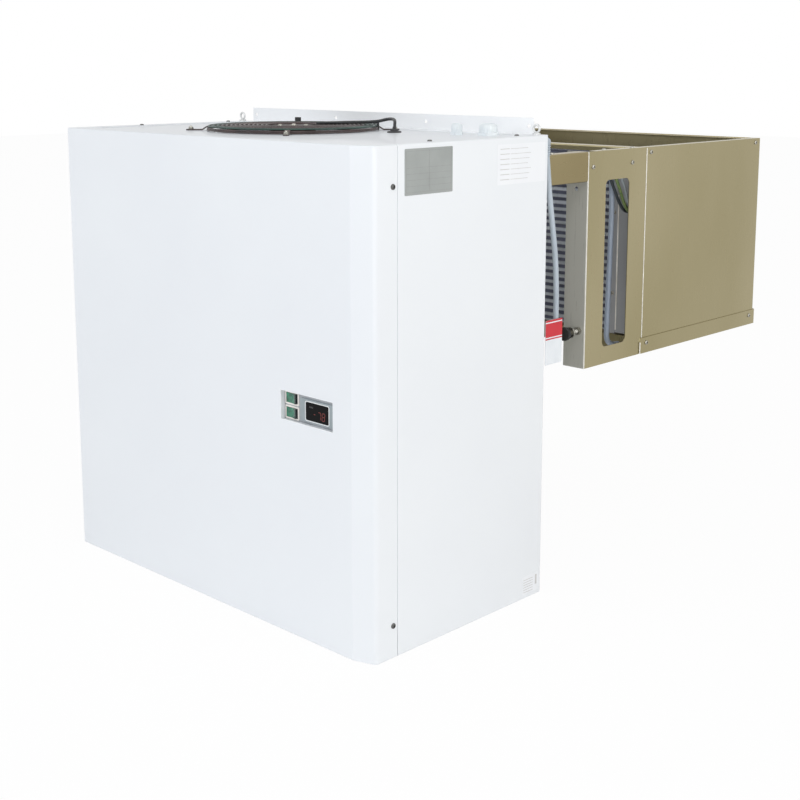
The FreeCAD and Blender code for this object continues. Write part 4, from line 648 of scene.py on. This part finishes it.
# Guards. Rings of black coated wire on four flat legs that are screwed down at their tabs, with a plate in the
# middle for the motor. The condenser's guard is closer meshed than the two in the room.
wire_black = finish("wire_black", (84, 68, 66), (52, 44, 44), rough=(0.32, 0.46), drift=25, bump=0.1)
rim_black = finish("rim_black", (46, 76, 68), (28, 50, 46), rough=(0.32, 0.46), drift=25, bump=0.1)
plated = finish("plated", (184, 182, 174), (150, 148, 140), rough=(0.2, 0.35), drift=200, metallic=1.0)
plated_dark = finish("plated_dark", (112, 112, 110), (84, 84, 84), rough=(0.25, 0.4), drift=200, metallic=0.9)
leg_level = 0.0072
tab_level = 0.0013
leg_turns = [math.radians(45 + 90 * k) for k in range(4)]


def level_ring(radius, level):
    """Points of a level circle about the vertical."""
    steps = 96
    turns = [2 * math.pi * j / steps for j in range(steps)]
    return [(radius * math.cos(turn), radius * math.sin(turn), level) for turn in turns]


def wire_guard(bm, place, rim, tabs, ring_count):
    """Guard drawn about the vertical with its tabs on z = 0, then set in its place. Rim and tabs are radii."""
    start = len(bm.verts)
    wire = 0.0026
    first = 0.050
    rim_faces = set()
    for k in range(ring_count):
        share = k / (ring_count - 1)
        before = len(bm.faces)
        bar(bm, level_ring(first + (rim - first) * share, leg_level + 0.0026 - 0.0010 * share * share), wire, wire,
            sides=8, closed=True)
        if ring_count - k < 4:
            rim_faces.update(range(before, len(bm.faces)))
    for radius, level in ((rim + 0.0016, 0.0052), (rim + 0.0022, 0.0026)):
        bar(bm, level_ring(radius, level), wire, wire, sides=8, closed=True)
    leg = [(0.030, leg_level), (rim + 0.003, leg_level), (rim + 0.0055, leg_level - 0.0012),
           (rim + 0.0105, tab_level + 0.0012), (rim + 0.013, tab_level), (tabs + 0.0085, tab_level)]
    spoke = [(0.040, leg_level), (rim, leg_level - 0.001), (rim + 0.0018, 0.0026)]
    for turn in leg_turns:
        bar(bm, [(r * math.cos(turn), r * math.sin(turn), z) for r, z in leg], 0.0100, 0.0024, sides=16,
            squareness=0.35)
        between = turn + math.pi / 4
        bar(bm, [(r * math.cos(between), r * math.sin(between), z) for r, z in spoke], 0.0030, 0.0030, sides=8)
    plate = [(0.0, 0.0060), (0.0425, 0.0060), (0.0440, 0.0066), (0.0440, 0.0080), (0.0425, 0.0088), (0.034, 0.0086),
             (0.032, 0.0080), (0.0, 0.0080)]
    lathe(bm, plate, Matrix.Identity(4), sides=64)
    bm.faces.ensure_lookup_table()
    for face in rim_faces:
        bm.faces[face].material_index = 1
    bm.verts.ensure_lookup_table()
    bmesh.ops.transform(bm, matrix=place, verts=bm.verts[start:])


def guard_fixings(bm, place, tabs):
    """Nut, washer and stud end on each tab, and four screws through the motor's plate."""
    start = len(bm.verts)
    for turn in leg_turns:
        at = Matrix.Translation((tabs * math.cos(turn), tabs * math.sin(turn), tab_level + 0.0012))
        lathe(bm, [(0.0, 0.0), (0.0052, 0.0), (0.0052, 0.0008), (0.0, 0.0008)], at, sides=24)
        lathe(bm, [(0.0, 0.0008), (0.0040, 0.0008), (0.0044, 0.0012), (0.0044, 0.0034), (0.0038, 0.0040),
                   (0.0, 0.0040)], at, sides=6)
        lathe(bm, [(0.0, 0.0040), (0.0024, 0.0040), (0.0022, 0.0058), (0.0, 0.0060)], at, sides=16)
        at = Matrix.Translation((0.024 * math.cos(turn), 0.024 * math.sin(turn), 0.0080))
        socket_head(bm, at, 0.0042, 0.0030)
    bm.verts.ensure_lookup_table()
    bmesh.ops.transform(bm, matrix=place, verts=bm.verts[start:])


def socket_head(bm, place, radius, height):
    """Domed screw head with a round socket."""
    lathe(bm, [(0.0, -0.0002), (radius, -0.0002), (radius, height * 0.25), (radius * 0.93, height * 0.6),
               (radius * 0.75, height * 0.9), (radius * 0.55, height), (radius * 0.50, height * 0.98),
               (radius * 0.46, height * 0.4), (0.0, height * 0.36)], place, sides=24)


fan_x, fan_y, deck_level = -0.049, -0.180, 0.0905
condenser_rim, condenser_tabs, condenser_rings = 0.156, 0.1895, 14
room_rim, room_tabs, room_rings = 0.133, 0.160, 9
fan_place = Matrix.Translation((fan_x, fan_y, deck_level))
turned_over = Matrix.Rotation(math.radians(-90), 4, "X")
room_places = [Matrix.Translation((side * 0.190, 0.764, -0.142)) @ turned_over for side in (-1, 1)]
condenser_guard = bmesh.new()
wire_guard(condenser_guard, fan_place, condenser_rim, condenser_tabs, condenser_rings)
add_piece("condenser_guard_wires", condenser_guard, [wire_black, rim_black],
          stands_for=["condenser_fan_guard"])
room_guard = bmesh.new()
fixings = bmesh.new()
guard_fixings(fixings, fan_place, condenser_tabs)
for place in room_places:
    wire_guard(room_guard, place, room_rim, room_tabs, room_rings)
    guard_fixings(fixings, place, room_tabs)
add_piece("room_guard_wires", room_guard, [wire_black, rim_black], stands_for=["room_fan_guards"])
add_piece("guard_fixings", fixings, plated)


# Fan rotors, motors and inlet rings. The bladed drums run on their outer rotor motors and are dark with a brown
# cast. The room's inlet rings are moulded plastic, screwed on behind the far wall's holes.
rotor_black = finish("rotor_black", (104, 72, 72), (66, 48, 50), rough=(0.4, 0.6), drift=25, grain=700,
                     bump=0.1)
moulded_black = finish("moulded_black", (52, 53, 55), (38, 39, 41), rough=(0.45, 0.6), drift=30, grain=1400,
                       bump=0.15)
for node in ("condenser_fan_motor", "condenser_fan_rotor", "room_fan_motors", "room_fan_rotor_left",
             "room_fan_rotor_right"):
    dress(node, rotor_black)
dress("room_fan_rings", moulded_black)


# Fan cable. A round black cable that leaves the motor along a leg, is held by an upright moulded clip at the
# guard's rim, and arches over to an oval rubber cup in the deck. A spare clip stands on the rim's other side.
diagonal = math.cos(math.radians(45))
clip_reach = diagonal * 0.158
clip_x, far_clip_x, clip_y = fan_x + clip_reach, fan_x - clip_reach, fan_y + clip_reach
aside = 0.006
cup_x, cup_y = 0.148, -0.112
cable_route = [(fan_x + 0.048 * diagonal, fan_y - aside + 0.048 * diagonal, 0.1035),
               (fan_x + 0.100 * diagonal, fan_y - aside + 0.100 * diagonal, 0.1050),
               (clip_x, clip_y - aside, 0.1055), (clip_x + 0.026, clip_y + 0.002, 0.1120),
               (clip_x + 0.060, clip_y - 0.018, 0.1130), (0.146, -0.108, 0.1090), (cup_x, cup_y, 0.0950),
               (cup_x, cup_y, 0.0880)]
cable_radius = 0.0029
fan_cable = smooth_line("fan_cable_line", cable_route, cable_radius, moulded_black)
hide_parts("fan_cable")
clip = bmesh.new()
for x, y, foot, top, wide, thick, toward, squareness in (
        (clip_x, clip_y, 0.0005, 0.0180, 0.0120, 0.0052, 1, 0.35),
        (clip_x, clip_y - aside, 0.0120, 0.0185, 0.0090, 0.0090, 1, 0.5),
        (far_clip_x, clip_y, 0.0005, 0.0175, 0.0120, 0.0060, -1, 0.35)):
    bar(clip, [(x, y, deck_level + foot), (x, y, deck_level + top)], wide, thick, up=(1, toward, 0), sides=16,
        squareness=squareness)
add_piece("fan_cable_clip", clip, moulded_black)


# Cable entries. Two nylon glands with a hexagon below and a fluted dome nut above, screwed into the deck, and the
# soft rubber cup that is pressed into the hole of the fan's cable.
gland_nylon = finish("gland_nylon", (240, 245, 247), (226, 233, 237), rough=(0.25, 0.35), drift=60, bump=0.03)
entries = bmesh.new()
for x, y, flats, bore in ((0.275, -0.086, 0.021, 0.0040), (0.325, -0.060, 0.034, 0.0090)):
    at = Matrix.Translation((x, y, deck_level))
    half = flats / 2
    lathe(entries, [(bore, 0.0), (half * 1.155, 0.0), (half * 1.155, 0.0046), (half * 1.08, 0.0052), (bore, 0.0052)],
          at, sides=6, closed=True)
    dome = [(half * 0.90, 0.0052), (half * 0.94, 0.0060), (half * 0.94, 0.0150), (half * 0.88, 0.0172),
            (half * 0.72, 0.0192), (bore + 0.0016, 0.0200), (bore, 0.0190), (bore, 0.0052)]
    lathe(entries, dome, at, sides=96, flutes=16, flute_depth=half * 0.07, flute_span=(0.0058, 0.0160), closed=True)
cup = bmesh.new()
cup_place = Matrix.Translation((cup_x, cup_y, deck_level)) @ Matrix.Diagonal((1.0, 1.25, 1.0, 1.0))
lathe(cup, [(0.0030, -0.0040), (0.0066, -0.0040), (0.0066, 0.0), (0.0112, 0.0), (0.0116, 0.0010), (0.0108, 0.0024),
            (0.0070, 0.0032), (0.0056, 0.0060), (0.0030, 0.0064)], cup_place, sides=40, closed=True)
add_piece("cable_glands", entries, gland_nylon, stands_for=["cable_entries"])
add_piece("fan_cable_cup", cup, moulded_black)


# Screws and lifting eyes. Dark plated heads with sockets on cover and deck, brighter ones on the stainless sheets
# and on the flanges of the coil's end plates. The plated steel eyes are screwed into the deck's back.
cabinet_heads = bmesh.new()
steel_heads = bmesh.new()
for side in (-1, 1):
    for z in (-0.6819, 0.0277):
        socket_head(cabinet_heads, aim((side * 0.410, -0.384, z), (side, 0, 0)), 0.0046, 0.0026)
    for y in (-0.279, -0.061):
        socket_head(cabinet_heads, aim((side * 0.389, y, 0.092), (0, 0, 1)), 0.0040, 0.0024)
    for x, y, z in ((0.390, 0.160, 0.0267), (0.390, 0.285, 0.0284), (0.390, 0.347, 0.045), (0.390, 0.744, 0.046),
                    (0.3917, 0.348, -0.329), (0.3917, 0.744, -0.329)):
        socket_head(steel_heads, aim((side * x, y, z), (side, 0, 0)), 0.0043, 0.0027)
    for y in (0.047, 0.205, 0.295):
        socket_head(steel_heads, aim((side * 0.381, y, 0.055), (0, 0, 1)), 0.0043, 0.0027)
    for z in (-0.075, -0.235):
        socket_head(steel_heads, aim((side * 0.3255, 0.3235, z), (0, -1, 0)), 0.0043, 0.0030)
add_piece("cabinet_screw_heads", cabinet_heads, plated_dark, stands_for=["cabinet_screws"])
add_piece("steel_screw_heads", steel_heads, plated, stands_for=["stainless_screws"])
eye_pale = finish("eye_pale", (228, 229, 228), (206, 208, 208), rough=(0.25, 0.35), drift=120, metallic=0.3)
dress("lifting_eyes", eye_pale)


# Wires to the room's fans. Three sheathed wires, dark, green with a yellow trace and grey, that come over the
# wall inside the beam and go down to the hole beside the coil.
wire_dark = finish("wire_dark", (50, 58, 64), (36, 42, 48), rough=(0.4, 0.5), drift=30)
wire_green = finish("wire_green", (150, 164, 92), (52, 92, 66), rough=(0.4, 0.5), drift=90,
                    drift_stretch=(6, 6, 0.2))
wire_grey = finish("wire_grey", (172, 180, 184), (150, 158, 164), rough=(0.4, 0.5), drift=30)
wire_radius = 0.0030
for k, (x, colour) in enumerate(((0.3585, wire_dark), (0.3650, wire_green), (0.3715, wire_grey))):
    route = [(x, -0.020, 0.030), (x, 0.120, 0.030), (x, 0.236 + 0.008 * k, 0.030), (x, 0.266 + 0.010 * k, -0.012),
             (x, 0.300 + 0.004 * k, -0.066), (x, 0.330, -0.073), (x, 0.355, -0.073)]
    wire = smooth_line("room_wire_%d" % k, route, wire_radius, colour)
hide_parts("room_harness")


# Spacers. A plated threaded rod with a ribbed rubber knob that presses on the wall, a nut with its washer half
# way, and two nuts that lock it in the neck's flange.
rubber_black = finish("rubber_black", (34, 34, 34), (24, 24, 24), rough=(0.6, 0.8), drift=60, grain=1200,
                      bump=0.2)
spacer_x, spacer_z = 0.376, -0.278
thread_core, thread_crest, thread_pitch, thread_turns = 0.0034, 0.0040, 0.0012, 60
for side, body, node in ((1, "right_spacer", "spacer_right"), (-1, "left_spacer", "spacer_left")):
    at = aim((side * spacer_x, 0.0, spacer_z), (0, 1, 0))
    rod = bmesh.new()
    thread = [(0.0, 0.104), (thread_core, 0.104)]
    for k in range(thread_turns):
        low = 0.105 + thread_pitch * k
        thread += [(thread_core, low), (thread_crest, low + thread_pitch / 2)]
    thread += [(thread_core, 0.1778), (0.0, 0.1790)]
    lathe(rod, thread, at, sides=20)
    lathe(rod, [(0.0, 0.1175), (0.0105, 0.1175), (0.0105, 0.1188), (0.0, 0.1188)], at, sides=28)
    lathe(rod, [(0.0, 0.1188), (0.0084, 0.1188), (0.0090, 0.1196), (0.0090, 0.1254), (0.0084, 0.1262), (0.0, 0.1262)],
          at, sides=6)
    add_piece("%s_rod" % body, rod, plated, body=body, stands_for=[node])
    knob = bmesh.new()
    lathe(knob, [(0.0, 0.0980), (0.0105, 0.0980), (0.0124, 0.0990), (0.0128, 0.1000), (0.0128, 0.1055),
                 (0.0118, 0.1072), (0.0070, 0.1080), (0.0, 0.1080)], at, sides=96, flutes=16, flute_depth=0.0014,
          flute_span=(0.0995, 0.1060))
    add_piece("%s_knob" % body, knob, rubber_black, body=body)
dress("spacer_nuts", plated)


# Compressor and receiver. Welded steel shells enamelled black, on rubber mounts that are bolted to the base pan.
# The compressor's terminal box and the tray's drain spout are moulded plastic.
shell_black = finish("shell_black", (30, 30, 32), (20, 20, 22), rough=(0.15, 0.3), drift=20, grain=300,
                     coat=0.4)
for node in ("compressor", "liquid_receiver"):
    dress(node, shell_black)
dress("compressor_mounts", rubber_black)
dress("compressor_terminal_box", moulded_black)
dress("drain_spout", moulded_black)


# Switches. Two lit rocker switches in pale glossy frames, one above the other. The rockers are green
# translucent plastic, with painted shade that turns them near black across the raised end.
switch_white = finish("switch_white", (248, 243, 238), (236, 230, 224), rough=(0.2, 0.3), drift=60, bump=0.03)
rocker_green = finish("rocker_green", (44, 138, 104), (8, 78, 60), rough=(0.12, 0.2), drift=110, bump=0.02,
                      coat=0.5)
# Painted shade across the rockers' raised ends, towards +x.
raised_end_shade = (0.2255, 0.2325)
change_finish(rocker_green, (1, 0, 0), raised_end_shade, (14, 26, 34), "First Color")
dress("rocker_frames", switch_white)
dress("rocker_lower", rocker_green)
dress("rocker_upper", rocker_green)


# Controller. A grey moulded bezel that is snapped into the plate, with a paler lip round its black window, in
# which a temperature glows dim red.
def rounded_outline(x0, x1, z0, z1, corner, steps):
    """Outline of a rectangle with rounded corners, once round."""
    line = []
    for turn, x, z in ((0, x1 - corner, z1 - corner), (90, x0 + corner, z1 - corner), (180, x0 + corner, z0 + corner),
                       (270, x1 - corner, z0 + corner)):
        for step in range(steps):
            angle = math.radians(turn + 90 * step / (steps - 1))
            line.append((x + corner * math.cos(angle), z + corner * math.sin(angle)))
    return line


def raised_sheet(bm, back_points, face_points):
    """Thin raised form: a face and the narrow sides that run back from it to what is under it."""
    back = [bm.verts.new(point) for point in back_points]
    face = [bm.verts.new(point) for point in face_points]
    bm.faces.new(face)
    for j in range(len(face)):
        n = (j + 1) % len(face)
        bm.faces.new((back[j], back[n], face[n], face[j]))


bezel_grey = finish("bezel_grey", (160, 170, 174), (146, 156, 160), rough=(0.35, 0.5), drift=40, grain=1500,
                    bump=0.1)
screen_dark = finish("screen_dark", (12, 12, 14), (6, 6, 8), rough=(0.14, 0.2), drift=40, bump=0.01)
screen_dark.node_tree.nodes["Principled BSDF"].inputs["Specular IOR Level"].default_value = 0.1
lip_pale = finish("lip_pale", (238, 240, 240), (226, 229, 230), rough=(0.25, 0.35), drift=60, bump=0.03)
digit_red = finish("digit_red", (120, 48, 42), (96, 32, 30), rough=(0.3, 0.4), drift=300, bump=0.02)
digit_shader = digit_red.node_tree.nodes["Principled BSDF"]
digit_shader.inputs["Emission Color"].default_value = linear(190, 50, 36)
digit_shader.inputs["Emission Strength"].default_value = 0.10
mark_grey = finish("mark_grey", (92, 92, 94), (74, 74, 76), rough=(0.3, 0.4), drift=300, bump=0.02)
dress("controller", bezel_grey)
dress("controller_screen", screen_dark)
screen_x, screen_z, screen_face = 0.283, -0.3435, -0.4292
lip = bmesh.new()
half_across, half_up, lip_corner = 0.0282, 0.0162, 0.0032
lip_line = rounded_outline(screen_x - half_across, screen_x + half_across, screen_z - half_up, screen_z + half_up,
                           lip_corner, 7)
bar(lip, [(x, screen_face, z) for x, z in lip_line], 0.0017, 0.0010, up=(0, 1, 0), sides=8, closed=True)
add_piece("screen_lip", lip, lip_pale)
# Painted highlight: a thin bar in the whiter coat round the cover's opening stands in for the light on the opening's
# edges.
opening_left, opening_right, opening_top, opening_foot, cover_face = 0.2022, 0.3268, -0.3162, -0.3658, -0.4354
highlight_outline = [(opening_left, cover_face, opening_top), (opening_right, cover_face, opening_top),
            (opening_right, cover_face, opening_foot), (opening_left, cover_face, opening_foot)]
rim = bmesh.new()
bar(rim, highlight_outline, 0.0012, 0.0010, up=(0, 1, 0), sides=8, closed=True)
add_piece("painted_opening_highlight", rim, white_painted_light, smooth=0)
digit_lean, window_gap, digit_proud = 0.08, 0.00002, 0.00014


def segment(bm, x, z, length, upright):
    """One bar of a digit: a flat six-cornered bar just in front of the window."""
    half, wide = length / 2, 0.00055
    corners = [(-half, 0), (-half + wide, wide), (half - wide, wide), (half, 0), (half - wide, -wide),
               (-half + wide, -wide)]
    if upright:
        corners = [(b + digit_lean * a, a) for a, b in corners]
    back, face = [[(screen_x + x + a, screen_face - proud, screen_z + z + b) for a, b in corners]
                  for proud in (window_gap, digit_proud)]
    raised_sheet(bm, back, face)


digits = bmesh.new()
tall, wide, bar_length = 0.0062, 0.0062, 0.0056
bars = {"a": (0.0, tall, False), "d": (0.0, -tall, False), "g": (0.0, 0.0, False), "b": (wide / 2, tall / 2, True),
        "c": (wide / 2, -tall / 2, True), "e": (-wide / 2, -tall / 2, True), "f": (-wide / 2, tall / 2, True)}
for digit_x, lit in ((0.0055, "abc"), (0.0150, "abcdefg")):
    for letter in lit:
        across, up, upright = bars[letter]
        segment(digits, digit_x + across + digit_lean * up, up - 0.004, bar_length, upright)
segment(digits, -0.0062, -0.003, 0.0042, False)
add_piece("screen_digits", digits, digit_red, smooth=0)
marks = bmesh.new()
for k in range(3):
    for z in (0.0085, 0.0070):
        segment(marks, -0.0170 + 0.0032 * k, z, 0.0024, False)
add_piece("screen_marks", marks, mark_grey, smooth=0)


# Plates on the service side. A bare silver rating plate with an empty ruled table, and two plain white films with
# ruled lines, one near the top and a small one near the foot. All of them are stuck on the painted panel.
plate_silver = finish("plate_silver", (166, 170, 168), (156, 160, 158), rough=(0.38, 0.5), drift=20, grain=500,
                      grain_stretch=(1, 6, 0.4), bump=0.03, metallic=0.2)
film_white = finish("film_white", (241, 243, 246), (238, 240, 244), rough=(0.25, 0.35), drift=20, grain=300,
                    bump=0.03)
rule_grey = finish("rule_grey", (150, 151, 150), (138, 139, 138), rough=(0.4, 0.5), drift=80, bump=0.02)
rule_pale = finish("rule_pale", (206, 205, 204), (198, 197, 196), rough=(0.4, 0.5), drift=80, bump=0.02)
panel_face, sunk = 0.4100, 0.0001


def side_sheet(bm, y0, y1, z0, z1, proud, corner):
    """Thin sheet with rounded corners on the service side's panel."""
    line = rounded_outline(y0, y1, z0, z1, corner, 5)
    raised_sheet(bm, [(panel_face - sunk, y, z) for y, z in line], [(panel_face + proud, y, z) for y, z in line])


rating = bmesh.new()
side_sheet(rating, -0.3580, -0.2480, 0.0118, 0.0840, 0.0006, 0.0015)
add_piece("rating_plate", rating, plate_silver)
rules = bmesh.new()
for z in (0.0160, 0.0255, 0.0350, 0.0445, 0.0540, 0.0800):
    side_sheet(rules, -0.3547, -0.2515, z, z + 0.0004, 0.0007, 0.0001)
for y in (-0.3547, -0.3022, -0.2519):
    side_sheet(rules, y, y + 0.0004, 0.0160, 0.0804, 0.0007, 0.0001)
add_piece("rating_plate_rules", rules, rule_grey)
film = bmesh.new()
side_sheet(film, -0.1365, -0.0085, 0.0135, 0.0805, 0.0002, 0.0020)
side_sheet(film, -0.0520, -0.0075, -0.7300, -0.6960, 0.0002, 0.0015)
add_piece("plain_films", film, film_white)
film_rules = bmesh.new()
for k in range(7):
    z = 0.0215 + 0.0085 * k
    side_sheet(film_rules, -0.1290, -0.1050, z, z + 0.0011, 0.0003, 0.0002)
    side_sheet(film_rules, -0.1020, -0.0560 + 0.0040 * (k % 3), z, z + 0.0007, 0.0003, 0.0002)
for k in range(6):
    z = -0.7265 + 0.0046 * k
    side_sheet(film_rules, -0.0500, -0.0230, z, z + 0.0010, 0.0003, 0.0002)
side_sheet(film_rules, -0.0165, -0.0120, -0.7180, -0.7000, 0.0003, 0.0004)
add_piece("film_rules", film_rules, rule_pale)
